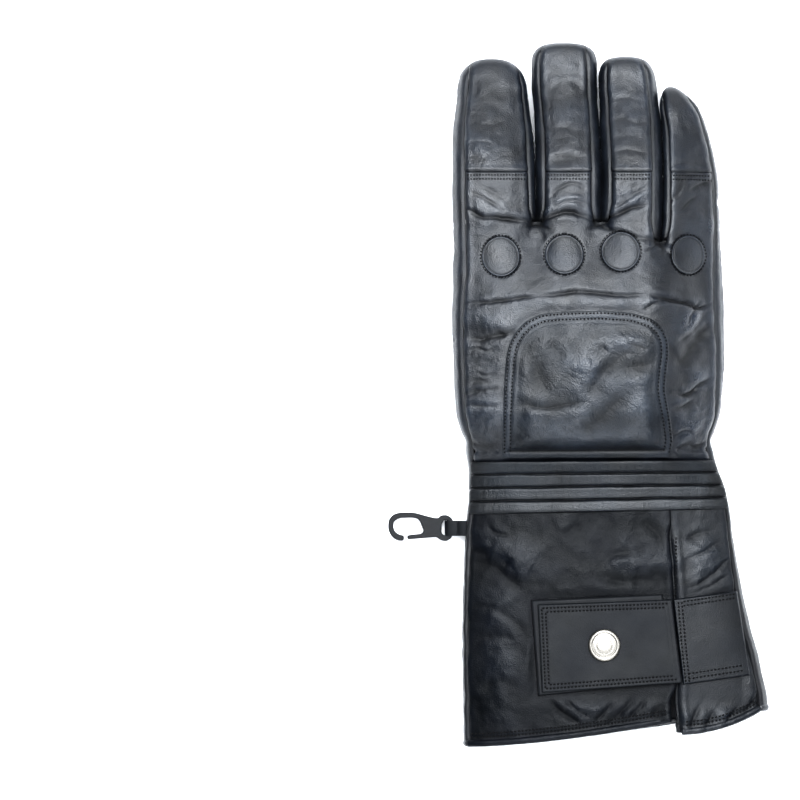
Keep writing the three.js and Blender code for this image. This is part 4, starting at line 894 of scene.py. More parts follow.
def columnEnd(f, across):
    low = np.full(np.shape(across), tipStart(f))
    high = np.full(np.shape(across), tipY(f))
    for _ in range(30):
        y = (low + high) / 2
        share = across * np.where(across < 0, np.abs(seamShare(f, -1, y)), np.abs(seamShare(f, 1, y)))
        inside = arch(tipShare(f, y), fingers[f]["round"]) > np.abs(share)
        low, high = np.where(inside, y, low), np.where(inside, high, y)
    return (low + high) / 2


seamY = handLong + fingerLong * glove["fingerSeam"]


def fingerRows(f, across, fromSeam=False):
    # y of every row of a finger, crowding where the skin turns down over the tip
    low = [] if fromSeam else list(np.linspace(handLong, seamY, int((seamY - handLong) / step)))[:-1]
    straight = np.linspace(seamY, tipStart(f), int((tipStart(f) - seamY) / step))
    turn = np.sin(np.linspace(0, 0.995, int(34 * 0.55 / step)) * math.pi / 2)[1:]
    rows = [np.full(np.shape(across), y) for y in low + list(straight)]
    end = columnEnd(f, across)
    return np.array(rows + [mix(tipStart(f), end, t) for t in turn])


def bandEdge(x, share):
    t = trunk(0.0)
    tilt = glove["bandTilt"] * np.clip((x - t["left"]) / (t["right"] - t["left"]), 0, 1)
    return mix(glove["bandTop"], -glove["bandBottom"], share) + tilt * mix(0.3, 1, share)


def handColumns():
    strips, acrossAll = [], []
    for f in range(4):
        _, wide, _ = fingerAt(f, handLong)
        count = int(1.6 * wide / step)
        strips += [f] * count
        acrossAll += list(np.linspace(-1, 1, count))
        if f < 3:
            strips += [-1 - f] * 5
            acrossAll += list(np.linspace(0, 1, 7)[1:-1])
    return np.array(strips), np.array(acrossAll)


strips, acrosses = handColumns()


def columnsAt(y):
    # x of every column at each y, a row of places for each y; y may also be given for each column
    y = np.broadcast_to(y, (len(y), len(strips))) if np.ndim(y) == 2 else np.repeat(y[:, None], len(strips), 1)
    x = np.zeros(y.shape)
    for f in range(4):
        own = strips == f
        x[:, own] = columnX(f, acrosses[own][None], y[:, own])
        if f < 3:
            web = strips == -1 - f
            x[:, web] = mix(seamX(f, 1, y[:, web]), seamX(f + 1, -1, y[:, web]), acrosses[web][None])
    return x


def handXAt(y):
    at = columnsAt(np.array([handLong]))[0]
    share = (at - at[0]) / (at[-1] - at[0])
    spread = betweenSeams(y, share[None])
    return np.where(y <= blendShare * handLong, spread,
                    mix(spread, columnsAt(y), smooth(blendShare * handLong, forkShares[2] * handLong, y)))


def forkDistance(x, y):
    # how far a place of the hand lies from the nearest cut between two fingers
    best = np.full(np.shape(x), 1e3)
    for g in range(3):
        a, b = seamX(g, 1, forkY(g)), seamX(g + 1, -1, forkY(g))
        side = np.maximum(0, np.abs(x - (a + b) / 2) - (b - a) / 2)
        below = np.hypot(side, np.maximum(forkY(g) - y, 0))
        edge = np.where(x < (a + b) / 2, seamX(g, 1, y) - x, x - seamX(g + 1, -1, y))
        best = np.minimum(best, np.where(y < forkY(g), below, np.abs(edge)))
    return best


def unit(v):
    return v / np.maximum(np.linalg.norm(v, axis=-1, keepdims=True), 1e-6)


webs = {"pull": 0.62, "above": 5.0, "below": 2.4, "reach": 5.5, "drop": 0.9}


def atCrotch(x, y):
    near = 0
    for g in range(3):
        centre = (seamX(g, 1, forkY(g)) + seamX(g + 1, -1, forkY(g))) / 2
        near = near + np.exp(-((x - centre) / 4.0) ** 2 - ((y - forkY(g)) / 2.6) ** 2)
    return near


def pinched(points):
    # the leather is drawn together where two fingers part
    x, y, z = [points[..., k].copy() for k in (0, 1, 2)]
    for g in range(3):
        centre = (seamX(g, 1, forkY(g)) + seamX(g + 1, -1, forkY(g))) / 2
        rise = points[..., 1] - forkY(g)
        near = hump(rise, np.where(rise > 0, webs["above"], webs["below"]))
        near = near * hump(points[..., 0] - centre, webs["reach"])
        x -= (points[..., 0] - centre) * webs["pull"] * near
        z -= webs["drop"] * near * (points[..., 2] > 12)
    z -= 2.2 * atCrotch(x, y) * (points[..., 2] > 12)
    return np.stack([x, y, z], -1)


def pushed(x, y, place, push, lifted=True):
    # points of a skin moved along its own outward direction
    away = unit(np.stack([place[1], place[2], place[3]], -1))
    z = place[0] + (lift(x, y) if lifted else 0)
    return pinched(np.stack([x, y, z], -1) + away * np.asarray(push)[..., None]), away


def quads(ids):
    return np.stack([ids[:-1, :-1], ids[:-1, 1:], ids[1:, 1:], ids[1:, :-1]], -1)


def handSheet(side):
    # rows of the hand from the wrist to the crotches, then each finger's own rows
    start = handXAt(np.full((1, len(strips)), glove["bandTop"]))[0]
    first = bandEdge(start, 0) - 1.2 if side > 0 else np.full(len(strips), 0.1)
    even = glove["bandTop"] + 6 if side > 0 else 4
    rows = [mix(first, even, t) for t in np.linspace(0, 1, int(7 / step))]
    lowFork = forkY(2)
    rows += [np.full(len(strips), y) for y in np.linspace(even, lowFork, int((lowFork - even) / step))[1:]]
    opened = len(rows) - 1  # the row from which the web beside the little finger is open
    above = np.linspace(lowFork, handLong, int((handLong - lowFork) / step))[1:]
    rows += [np.full(len(strips), y) for y in above]
    y = np.array(rows)
    x = handXAt(y)
    place = skin(x, y, side)
    # one list of points: the hand's grid, then each finger's grid beyond its first row
    points = [np.stack([x.ravel(), y.ravel()] + [p.ravel() for p in place], 1)]
    n, m = y.shape
    ids = np.arange(n * m).reshape(n, m)
    keep = np.ones((n - 1, m - 1), bool)
    keep[opened:, (strips[:-1] == -3) | (strips[1:] == -3)] = False
    faces = [quads(ids)[keep]]
    for f in range(4):
        own = strips == f
        fy = fingerRows(f, acrosses[own])
        if side > 0:
            fy = fy[:int((seamY - handLong) / step)]
        fx = columnX(f, acrosses[own][None], fy)
        beyond = [v[1:].ravel() for v in (fx, fy, *skin(fx, fy, side, f))]
        added = sum(len(p) for p in points) + np.arange(len(beyond[0])).reshape(len(fy) - 1, -1)
        points.append(np.stack(beyond, 1))
        faces.append(quads(np.concatenate([ids[-1, own][None], added])).reshape(-1, 4))
    points, faces = np.concatenate(points), np.concatenate(faces)
    return points, (faces if side > 0 else faces[:, ::-1])


def rollAndPuff(edge, radius, depth, puff=0.3):
    return rolled(edge, radius, depth) + puff * hump(edge - 1.5 * radius, 0.8 * radius)


backHand = {
    "roll": 1.7, "tuck": 1.5, "puff": 0.35,  # the rolled edge beside the seams
    "seamRows": (1.5, 3.3),  # stitch rows below the finger seams
}


def makeBackHand():
    p, faces = handSheet(1)
    x, y, place = p[:, 0], p[:, 1], p[:, 2:].T
    relief = backRelief(x, y)
    outer = np.minimum(x - outerSeamX(-1, y), outerSeamX(1, y) - x)
    edge = np.minimum(outer, forkDistance(x, y))
    push = relief + rollAndPuff(edge, backHand["roll"], backHand["tuck"], backHand["puff"])
    top = seamY - y
    push += rolled(top, 0.9, 0.5)
    for row in backHand["seamRows"]:
        push -= 0.15 * hump(top - row, 0.42)
    push -= 0.8 * smooth(1.2, -0.6, y - bandEdge(x, 0))
    push -= 1.1 * hump(y - bandEdge(x, 0) - 4.6, 1.1) * smooth(-1, -4, inPad(x, y))
    pad = inPad(x, y)
    pull = discPull(x, y) - 1.6 * smooth(0.3, 2.2, pad) - 0.3 * hump(pad + 0.6, 1.3)
    points, _ = pushed(x, y, place, push + pull)
    # per-point value: folds as wear with painted highlight and shade, painted highlight on the seam rolls,
    # painted shade in the tucks and crotches
    wearAndPaintedLight = paintedLightAndWearFrom(relief, x, y) + rollAndPuff(edge, 1.7, 1.1, 0.5) - 2.2 * atCrotch(x, y)
    meshPiece("back_hand_leather", points, faces, backNappa, ["back_hand"], wearAndPaintedLight)


def fingerColumns(f):
    _, wide, _ = fingerAt(f, handLong)
    return np.linspace(-1, 1, int(1.7 * wide / step))


def makeFingerTop(f):
    across = fingerColumns(f)
    y = fingerRows(f, across, True)
    y[0] += 0.1
    x = columnX(f, across[None], y)
    place = skin(x, y, 1, f)
    relief = backRelief(x, y)
    _, wide, _ = fingerAt(f, y)
    share = np.where(across[None] < 0, np.abs(seamShare(f, -1, y)), np.abs(seamShare(f, 1, y)))
    side = (1 - np.abs(across[None])) * share * wide
    low = y - seamY
    ease = 1 - 0.95 * smooth(tipStart(f), tipY(f), y)
    atTip = tipEase(f, y)
    push = relief * ease + rollAndPuff(side, 1.6, 1.35, 0.3) * atTip
    push += rollAndPuff(low, 1.0, 0.55, 0.28)
    points, away = pushed(x, y, place, push)
    # per-point value: folds as wear with painted highlight and shade, painted highlight on the rolls beside the
    # seams, painted shade in the tucks
    wearAndPaintedLight = paintedLightAndWearFrom(relief, x, y) + rollAndPuff(np.minimum(side, low), 1.6, 1.0, 0.5)
    name = fingers[f]["name"]
    sheetPiece(f"{name}_finger_leather", points, away, backNappa, [f"{name}_top"], wearAndPaintedLight)


def wallAt(x, y, side, f, outline, down):
    # a side wall between the back's seam and the palm's, bowed out to the glove's outline
    top, sole = skin(x, y, 1, f), skin(x, y, -1, f)
    bow = 1 - (2 * down - 1) ** 2
    px = x + side * np.abs(outline - x) * bow
    sx = mix(mix(top[1], sole[1], down), side, bow)
    return px, np.stack([mix(top[0], sole[0], down), sx, mix(top[2], sole[2], down),
                         mix(top[3], sole[3], down)])


def fingerWall(f, side, y, down):
    mid, wide, _ = fingerAt(f, y)
    x = seamX(f, side, y)
    return wallAt(x, y, side, f, mid + side * wide * arch(tipShare(f, y), fingers[f]["round"]), down)


fourchette = {"rows": 30, "roll": 1.5, "tuck": 1.25, "puff": 0.25}


def wallPush(run, down, tall, seed, ease=1.0):
    # run is the way along the wall in millimetres
    edge = np.minimum(down, 1 - down) * tall
    push = rollAndPuff(edge, fourchette["roll"], fourchette["tuck"], fourchette["puff"]) * ease
    rough = 0.3 * layers(run, down * tall, 12, 2, seed) + 0.04 * crinkle(run, down * tall, 4, seed + 2, 0.6)
    dents = np.abs(noise(run, down * tall * 0.35, 6, seed + 5))
    rough -= 0.22 * hump(dents, 0.09) * smooth(0.1, 0.5, noise(run, down * tall, 25, seed + 7) + 0.25)
    return push + rough * smooth(0, 2.5, edge), edge, rough


def wallTall(place):
    return np.maximum(place[0][:, :1] - place[0][:, -1:], 0.4)


def makeFourchette(g):
    down = np.linspace(0, 1, fourchette["rows"])[None]
    parts = []
    one = fingerRows(g, np.array([1.0]))[::-1, 0]
    two = fingerRows(g + 1, np.array([-1.0]))[:, 0]
    extra = np.linspace(handLong, forkY(g), max(int((handLong - forkY(g)) / step), 1) + 1)[1:]
    for f, side, ys in ((g, 1, np.concatenate([one, extra])), (g + 1, -1, np.concatenate([extra[::-1], two]))):
        y = np.repeat(ys[:, None], down.shape[1], 1)
        x, place = fingerWall(f, side, y, np.repeat(down, len(ys), 0))
        parts.append((x, y, place, tipEase(f, y)))
    turn = np.linspace(0, 1, 9)[1:-1, None]
    xa, pa = parts[0][0][-1:], parts[0][2][:, -1:]
    xb, pb = parts[1][0][:1], parts[1][2][:, :1]
    bow = 1 - (2 * down - 1) ** 2
    px = mix(xa, xb, turn)
    py = forkY(g) - 1.2 * np.sin(turn * math.pi) * (0.3 + 0.7 * bow)
    pp = mix(pa, pb, turn[None])
    pp[2] = mix(0.75, 1, np.repeat(bow, len(turn), 0))
    x = np.concatenate([parts[0][0], px, parts[1][0]])
    y = np.concatenate([parts[0][1], py, parts[1][1]])
    place = np.concatenate([parts[0][2], pp, parts[1][2]], 1)
    run = np.repeat(np.linspace(0, 2.0 * (len(x) * step), len(x))[:, None] * 0.5, down.shape[1], 1)
    tall = wallTall(place)
    ease = np.concatenate([parts[0][3], np.ones(px.shape), parts[1][3]])
    push, edge, rough = wallPush(run, np.repeat(down, len(x), 0), tall, 80 + 13 * g, ease)
    push += 0.35 * (1 - (2 * np.repeat(down, len(x), 0) - 1) ** 2) * smooth(175, 150, y)
    points, away = pushed(x, y, place, push)
    fork = slice(len(parts[0][0]) - 3, len(parts[0][0]) + len(turn) + 3)
    points[fork, :, 2] -= 2.2 * smooth(0.55, 0.0, down)
    # per-point value passed below: painted highlight on the rolls and bumps, painted shade in the tucks, dents
    # and at the crotch
    sheetPiece(f"fourchette_leather_{g + 1}", points, away, backNappa, [f"fourchette_{g + 1}"],
               rollAndPuff(edge, 1.5, 1.0, 0.5) + rough - 2.2 * atCrotch(x, y))


def makeSide(side):
    f = 0 if side < 0 else 3
    down = np.linspace(0, 1, fourchette["rows"])[None]
    low = np.linspace(0.15, handLong, int(handLong / step))[:-1]
    high = fingerRows(f, np.array([float(side)]))[:, 0]
    y = np.repeat(np.concatenate([low, high])[:, None], down.shape[1], 1)
    down = np.repeat(down, len(y), 0)
    t = trunk(y)
    outline = t["left"] if side < 0 else t["right"]
    x0, p0 = wallAt(outerSeamX(side, y), y, side, f, outline, down)
    x1, p1 = fingerWall(f, side, y, down)
    finger = y >= handLong
    x, place = np.where(finger, x1, x0), np.where(finger, p1, p0)
    tall = wallTall(place)
    push, edge, rough = wallPush(y * 1.0, down, tall, 130 + 10 * side, tipEase(f, y))
    # the notch below the little finger and the pucker at the heel show in the outline
    if side > 0:
        push = push - 1.1 * hump(y - 129, 2.2) * np.sin(down * math.pi)
    push = push - 0.9 * hump(y - 22, 3) * np.sin(down * math.pi)
    points, away = pushed(x, y, place, push)
    name = "index" if side < 0 else "little"
    # per-point value passed below: painted highlight on the rolls and bumps, painted shade in the tucks and
    # dents
    sheetPiece(f"side_{name}_leather", points, away, backNappa, [f"side_{name}"],
               rollAndPuff(edge, 1.5, 1.0, 0.5) + rough)


knuckle = {
    "inset": 0.2, "around": 96, "rings": 42,
    "at": [0, 0.4, 0.7, 0.82, 0.865, 0.905, 0.945, 0.98, 1],  # share of the radius
    "rise": [0.8, 0.7, 0.46, 0.3, 0.14, 0.42, 0.5, 0.2, -0.6],
    # per-point value across the disc: painted shade in the groove at 0.865 and at the edge, painted highlight
    # on the raised ring at 0.94
    "wearAndPaintedLightAt": [0, 0.8, 0.865, 0.94, 1], "wearAndPaintedLight": [0.1, 0, -0.9, 0.8, -1.3], "fill": 0.8,
}


def makeDisc(n):
    px, py, wide, long = discs[n]
    cx, cy = spot(px, py)
    turn = np.linspace(0, 2 * math.pi, knuckle["around"], endpoint=False)
    share = np.concatenate([[1.0, 0.99], np.linspace(0.975, 0.03, knuckle["rings"])])[:, None]
    x = cx + (wide - knuckle["inset"]) * share * np.cos(turn)
    y = cy + (long - knuckle["inset"]) * share * np.sin(turn)
    rise = np.interp(share, knuckle["at"], knuckle["rise"])
    rise = rise + 0.07 * layers(x, y, 7, 2, 200 + n) + 0.03 * crinkle(x, y, 3, 205)
    z = backHigh(x, y) + broadWave(x, y) + swells(x, y, backSwells) + rise
    wearAndPaintedLight = np.repeat(np.interp(share, knuckle["wearAndPaintedLightAt"], knuckle["wearAndPaintedLight"]), len(turn), 1)
    piece = sheetPiece(f"knuckle_pad_{n + 1}", np.stack([x, y, z], -1), facing(x, 1), paddedNappa,
                       [f"knuckle_disc_{n + 1}"], wearAndPaintedLight, ring=True)


handPad = {
    "foam": 1.9, "seamStep": 0.75,  # height of the foam and of the flat strip round it
    "rows": (0.95, 3.45),  # the two rows of stitches, from the pad's edge
    "centre": (586, 392), "rings": 118, "around": 420, "lowEdge": 60,
    "fold": 4.4,  # the crease above the ribs, from the band's edge
    "fill": 0.5,
}


def makePad():
    soft = atLengths(padEdge, np.linspace(0, lengthAlong(padEdge)[-1], handPad["around"] - handPad["lowEdge"]))
    for _ in range(14):
        soft[1:-1] = (soft[:-2] + soft[2:] + 2 * soft[1:-1]) / 4
    count = handPad["lowEdge"]
    low = np.stack([np.linspace(soft[-1, 0], soft[0, 0], count + 2)[1:-1], np.full(count, soft[0, 1])], 1)
    outline = np.concatenate([soft, low])
    centre = np.array(spot(*handPad["centre"]))
    share = (1 - np.linspace(0, 0.995, handPad["rings"]) ** 0.9)[:, None, None]
    flatXY = centre + (outline[None] - centre) * share
    x, y = flatXY[..., 0], flatXY[..., 1]
    d, _, _ = toLine(x, y, soft)
    low = handPad["seamStep"]
    rise = low * smooth(-0.5, 0.5, d) + (handPad["foam"] - low) * smooth(3.2, 13, d)
    for row in handPad["rows"]:
        rise -= 0.1 * hump(d - row, 0.42)
    rise += 0.1 * hump(d - 2.2, 0.9) + 0.2 * hump(d - 4.9, 0.9)
    inner = smooth(3.4, 10, d)
    folds = (0.8 * creases(x, y, padFolds, 1.3) + swells(x, y, padSwells) + crumpled(x, y, padCrumples)) * inner
    folds += (0.5 * layers(x, y, 13, 2, 301) + 0.08 * crinkle(x, y, 5, 303, 1.8, -0.7)
              + 0.045 * crinkle(x, y, 2.4, 305)) * (0.35 + 0.65 * inner)
    band = y - bandEdge(x, 0)
    strip = smooth(3.4, 7.2, band)
    rise = mix(0.7, rise + 1.0 * hump(band - 9, 3.4) * inner, strip) - 0.4
    rise -= 1.2 * hump(band - handPad["fold"], 0.8) * smooth(1, 4, d)
    folds = folds * strip
    z = backHigh(x, y) + broadWave(x, y) * (1 - inner) + rise + folds + 0.1
    points = np.stack([x, y, z], -1)
    # per-point value: painted highlight and shade following the folds, painted highlight on the strip between
    # the stitch rows and on the rise inside them, painted shade in the crease above the ribs
    wearAndPaintedLight = folds * 1.1 + 0.3 * hump(d - 5.0, 1.0) + 0.6 * hump(d - 2.2, 1.2)
    wearAndPaintedLight = wearAndPaintedLight - 1.2 * hump(band - handPad["fold"], 0.9) * smooth(1, 4, d)
    away = facing(x, 1)
    piece = sheetPiece("hand_pad", points, away, padNappa, ["back_pad"], wearAndPaintedLight, ring=True)
    return soft


ribs = {"count": 4, "high": 2.6, "round": 4.6, "sunk": 0.5, "perRib": 26, "wide": 116, "fill": 0.9}


def makeRibs():
    rows = ribs["count"] * ribs["perRib"] + 1
    share = np.linspace(0, 1, rows)[:, None]
    column = np.linspace(0, 1, int(ribs["wide"] / step))[None]
    guess = betweenSeams(0.0, column)
    y = bandEdge(guess, share)
    x = betweenSeams(y, column)
    s = share * ribs["count"]
    wander = 0.05 * noise(x, np.round(s) * 9.0, 17, 401)
    local = 2 * np.abs((s + wander * (share > 0.02) * (share < 0.98)) % 1 - 0.5)
    swell = ribs["high"] * (1 - local ** ribs["round"]) ** 0.5
    which = np.floor(s)
    swell *= 1 + 0.10 * noise(x, which * 7.0 + 3, 9, 403)
    pinch = np.abs(noise(x + 0.6 * noise(x, y, 3, 411), which * 5.0, 3.2, 405))
    marks = hump(pinch, 0.08) * smooth(0.0, 0.5, noise(x, y, 12, 407) + 0.25)
    swell -= 0.12 * marks * (1 - local ** 2)
    swell += 0.06 * crinkle(x, y, 2.6, 409, 0.7, 1.3) - ribs["sunk"]
    end = arch(mix(-1, 1, column), 12)
    place = skin(x, y, 1)
    points, away = pushed(x, y, place, swell * end - 0.9 * (1 - end))
    # per-point value: painted highlight along each rib's crown, painted shade between the ribs, in the pinch
    # marks and towards the band's ends, and a random tone
    wearAndPaintedLight = 0.55 * (1 - local ** 3) - 1.7 * smooth(0.88, 1, local) - 0.4 * marks
    wearAndPaintedLight = wearAndPaintedLight + 0.5 * noise(x, y + which, 20, 413) - 0.9 * smooth(0.82, 1, np.abs(2 * column - 1))
    piece = sheetPiece("wrist_rib_band", points, away, ribNappa, ["wrist_ribs"],
                       np.broadcast_to(wearAndPaintedLight, x.shape))


# The cuff
def hemY(across, part):
    # part -1 is the back's hem, 1 the gusset's beside the slit, 0 the underside's
    t = np.clip((across - 0.72) / 0.28, 0, 1)  # from the slit to the far seam
    if part > 0:
        return -cuffLong * (1 - mix(glove["sideHemRise"], glove["soleHemRise"], t * t))
    return -cuffLong * (1 - glove["hemRise" if part < 0 else "soleHemRise"] * np.clip(across, 0, 1) ** 1.5)


def cuffStart(across):
    return bandEdge(betweenSeams(0.0, across), 1) - glove["gap"] / 2


def slitAcross(y):
    return mix(glove["slit"], glove["slitTop"], smooth(-100, -50, y))


def underStrap(x, y):
    # 1 under the strap and its patch, where the cuff is pressed flat
    u = smooth(-27.5, -24, x) * smooth(73, 69, x)
    v = smooth(-99, -90, y + 0.06 * x) * smooth(-43, -50, y - 0.03 * x)
    return u * v


cuff = {
    "lining": (1.7, lining),  # how far inside the leather it lies, and its material
    "slitRoll": 2.0, "slitTuck": 2.3, "slitOpen": 0.022,
    "hemStitch": (4.3, 5.9),  # the two rows above the hem
    "turnUp": 3 / 26,  # share of the underside that turns up at either side
    "panelRows": 98, "backWide": 88, "sideWide": 36, "soleLong": 110, "soleRound": 170, "soleStep": 1.6,
}


def makeCuffTop(name, side, nodes):
    # side -1 is the back, 1 the gusset beside the slit
    slitShare = glove["slit"]
    v = np.linspace(0, 1, int(cuff["panelRows"] / step))[:, None]
    u = np.linspace(0, 1, int(cuff["backWide" if side < 0 else "sideWide"] / step))[None]
    guess = mix(0.0, slitShare, u) if side < 0 else mix(slitShare, 1.0, u)
    y = mix(cuffStart(guess) + 1.2, hemY(guess, side) + 1.0, v)
    start, end = (0 * y, slitAcross(y) - cuff["slitOpen"] * smooth(-86, -96, y)) if side < 0 else (
        slitAcross(y), 0 * y + 1)
    across = mix(start, end, u)
    x = betweenSeams(y, across)
    place = skin(x, y, 1)
    relief = backRelief(x, y)
    total = outerSeamX(1, y) - outerSeamX(-1, y)
    slit = np.abs(across - (end if side < 0 else start)) * total
    outer = (across if side < 0 else 1 - across) * total
    flat = underStrap(x, y)
    push = relief * (1 - 0.9 * flat) - 0.7 * flat
    push += (rollAndPuff(slit, cuff["slitRoll"], cuff["slitTuck"], 0.4) * smooth(-13, -25, y)
             + rollAndPuff(outer, 1.6, 1.3, 0.2))
    push += 1.1 * smooth(-60, -98, y) * (side < 0) * hump(slit, 9)  # the back's corner lies over
    push -= 0.45 * hump(y - hemY(across, side) - 4.2, 0.8)
    points, away = pushed(x, y, place, push)
    # per-point value: folds as wear with painted highlight and shade, painted highlight on the rolls at the
    # slit and outer seam, painted shade in their tucks; flat under the strap
    wearAndPaintedLight = paintedLightAndWearFrom(relief, x, y) * (1 - flat) + rollAndPuff(np.minimum(slit, outer), 1.6, 1.0, 0.4)
    sheetPiece(name, points, away, sideNappa if side > 0 else shadedCuffNappa, nodes, wearAndPaintedLight,
               lining=cuff["lining"])


def wrapAcross(around):
    turn = cuff["turnUp"]
    return np.clip((around - turn) / (1 - 2 * turn), 0, 1)


def cuffWrap(y, around):
    # the underside and both turned-up sides of the cuff at one y; around runs from 0 to 1
    turn = cuff["turnUp"]
    across = wrapAcross(around)
    x = betweenSeams(y, across)
    place = skin(x, y, -1)
    for side in (-1, 1):
        own = around < turn if side < 0 else around > 1 - turn
        down = np.clip((around if side < 0 else 1 - around) / turn, 0, 1)
        t = trunk(y)
        outline = t["left"] if side < 0 else t["right"]
        wx, wp = wallAt(outerSeamX(side, y), y, side, None, outline, down)
        x, place = np.where(own, wx, x), np.where(own[None], wp, place)
    return x, place, across


def makeCuffPalm():
    around = np.linspace(0, 1, int(cuff["soleRound"] / step / cuff["soleStep"]))[None]
    across = wrapAcross(around)
    v = np.linspace(0, 1, int(cuff["soleLong"] / step / cuff["soleStep"]))[:, None]
    y = mix(-0.05, hemY(across, 0) + 1.0, v)
    around = np.broadcast_to(around, y.shape)
    x, place, across = cuffWrap(y, around)
    sole = smooth(0, 0.05, across) * smooth(0, 0.05, 1 - across)
    relief = soleRelief(x, y)
    edge = np.minimum(around, 1 - around) * cuff["soleRound"]
    wallRun = 0.3 * layers(y, x + place[0], 10, 2, 501) + 0.07 * crinkle(y, place[0] + x, 4, 503)
    push = -relief * sole + (1 - sole) * wallRun + rollAndPuff(edge, 1.6, 1.3, 0.3)
    push -= 1.1 * hump(y, 5) * (1 - sole) * np.abs(np.sin(place[0] * 0.7))
    points, away = pushed(x, y, place, push)
    points[..., 2] = np.maximum(points[..., 2], 0)
    # per-point value: painted shade in the folds that go up into the glove, painted highlight on the seam rolls
    # with painted shade in their tucks, lighter on the walls' bumps
    wearAndPaintedLight = -0.45 * (relief - 0.35) * sole + rollAndPuff(edge, 1.5, 0.9, 0.4) + (1 - sole) * wallRun
    sheetPiece("cuff_palm_leather", points, away, palmNappa, ["cuff_palm"], wearAndPaintedLight,
               lining=cuff["lining"])


hem = {"radius": 1.62, "sides": 22, "pitch": 0.6, "soleCount": 300}


def makeHem(name, node, places, material):
    # a turned hem: a fat roll along the panel's edge; places gives points and outward directions
    points, away = places
    ahead = unit(np.gradient(points, axis=0))
    up = unit(away - (away * ahead).sum(-1, keepdims=True) * ahead)
    beside = np.cross(ahead, up)
    count, sides = len(points), hem["sides"]
    run = np.arange(count)[:, None] * hem["pitch"]
    spin = np.linspace(0, 2 * math.pi, sides, endpoint=False)[None]
    radius = hem["radius"] * (1 + 0.07 * noise(run, run * 0, 7, 601)
                              + 0.04 * noise(run + 0 * spin, 3 * spin + 0 * run, 2.3, 603))
    radius = radius * np.maximum(arch(np.linspace(-1, 1, count), 60)[:, None], 0.1)
    a, b = np.cos(spin) * radius, np.sin(spin) * radius * 0.95
    body = points[:, None] + a[..., None] * beside[:, None] + b[..., None] * up[:, None]
    body[..., 2] = np.maximum(body[..., 2], 0.02)
    faces = faced(body, gridFaces(count, sides, True), body - points[:, None]).tolist()
    faces += [list(range(sides)), [count * sides - 1 - s for s in range(sides)]]
    # per-point value: painted highlight along the top and the underside of the roll, over a lighter base tone
    wearAndPaintedLight = np.repeat(0.35 + 0.5 * np.sin(spin) ** 2, count, 0)
    meshPiece(name, body, faces, material, [node], wearAndPaintedLight)


def hemPath(low, high, part):
    across = np.linspace(low, high, int((high - low) * 132 / hem["pitch"]))
    y = hemY(across, part) + hem["radius"] * 0.98
    x = betweenSeams(y, across)
    place = skin(x, y, 1)
    place[0] = place[0] + backRelief(x, y) * 0.7 - 0.75
    return pushed(x, y, place, 0 * x)


def hemPalmPath():
    around = np.linspace(0.004, 0.996, hem["soleCount"])
    y = hemY(wrapAcross(around), 0) + hem["radius"] * 0.98
    x, place, _ = cuffWrap(y, around)
    return pushed(x, y, place, 0 * x - hem["radius"] * 0.62)


# Palm and thumb
def makePalm():
    p, faces = handSheet(-1)
    x, y, place = p[:, 0], p[:, 1], p[:, 2:].T
    outer = np.minimum(x - outerSeamX(-1, np.minimum(y, handLong)), outerSeamX(1, np.minimum(y, handLong)) - x)
    finger = np.full(len(x), 1e3)
    for f in range(4):
        mid, wide, _ = fingerAt(f, y)
        inside = (np.abs(x - mid) < wide * 1.02) & (y > handLong)
        side = wide * np.abs(np.where(x < mid, seamShare(f, -1, y), seamShare(f, 1, y))) - np.abs(x - mid)
        finger = np.where(inside, np.minimum(finger, np.abs(side)), finger)
    edge = np.where(y > handLong, finger, np.minimum(np.abs(outer), forkDistance(x, y)))
    relief = soleRelief(x, y) * (1 - smooth(150, 190, y) * 0.5)
    relief += 0.7 * hump(y - 121 - 2 * noise(x, y, 20, 71), 1.6) * (0.5 + 0.5 * noise(x, y, 15, 72))
    push = -relief + rollAndPuff(edge, 1.5, 1.2, 0.25)
    points, _ = pushed(x, y, place, push)
    points[:, 2] = np.maximum(points[:, 2], 0)
    # per-point value: painted shade in the folds that go up into the glove, painted highlight on the seam
    # rolls, painted shade in their tucks
    wearAndPaintedLight = -0.45 * (relief - 0.35) + rollAndPuff(edge, 1.5, 0.9, 0.4)
    meshPiece("palm_leather", points, faces, palmNappa, ["palm"], wearAndPaintedLight)


def soleTop(x, y, drop=0.0):
    # the palm's own outer face, drop millimetres below it
    x, y = together(x, y)
    z = skin(x, y, -1)[0] + lift(x, y) + soleRelief(x, y)
    return np.maximum(z - drop, 0.02)


patch = {"around": 180, "rings": 26, "edge": 0.9, "stitchIn": 2.4}


def patchPiece(name, outline, drop, thick, nodes):
    # a leather patch sewn flat on the palm; gives back the line of its stitches
    outline = np.concatenate([outline, outline[:1]])
    line = atLengths(outline, np.linspace(0, lengthAlong(outline)[-1], patch["around"], endpoint=False))
    for _ in range(5):
        line = (np.roll(line, 1, 0) + np.roll(line, -1, 0) + 2 * line) / 4
    centre = line.mean(0)
    share = np.linspace(1, 0.02, patch["rings"])[:, None, None]
    x, y = np.moveaxis(centre + (line[None] - centre) * share, -1, 0)
    reach = np.hypot(*(line - centre).T)
    edge = (1 - share[..., 0]) * reach
    groove = hump(edge - patch["stitchIn"], 0.5)
    z = soleTop(x, y) - (drop + thick) - rolled(edge, patch["edge"], thick) + 0.28 * groove
    points = np.stack([x, y, np.maximum(z, 0.01)], -1)
    # per-point value: painted highlight on the patch's rolled edge, painted shade in the stitch groove
    wearAndPaintedLight = 0.6 * hump(edge - patch["edge"], 0.6) - 0.6 * groove
    sheetPiece(name, points, facing(x, -1), palmNappa, nodes, wearAndPaintedLight, ring=True)
    return centre + (line - centre) * (1 - patch["stitchIn"] / reach[:, None])


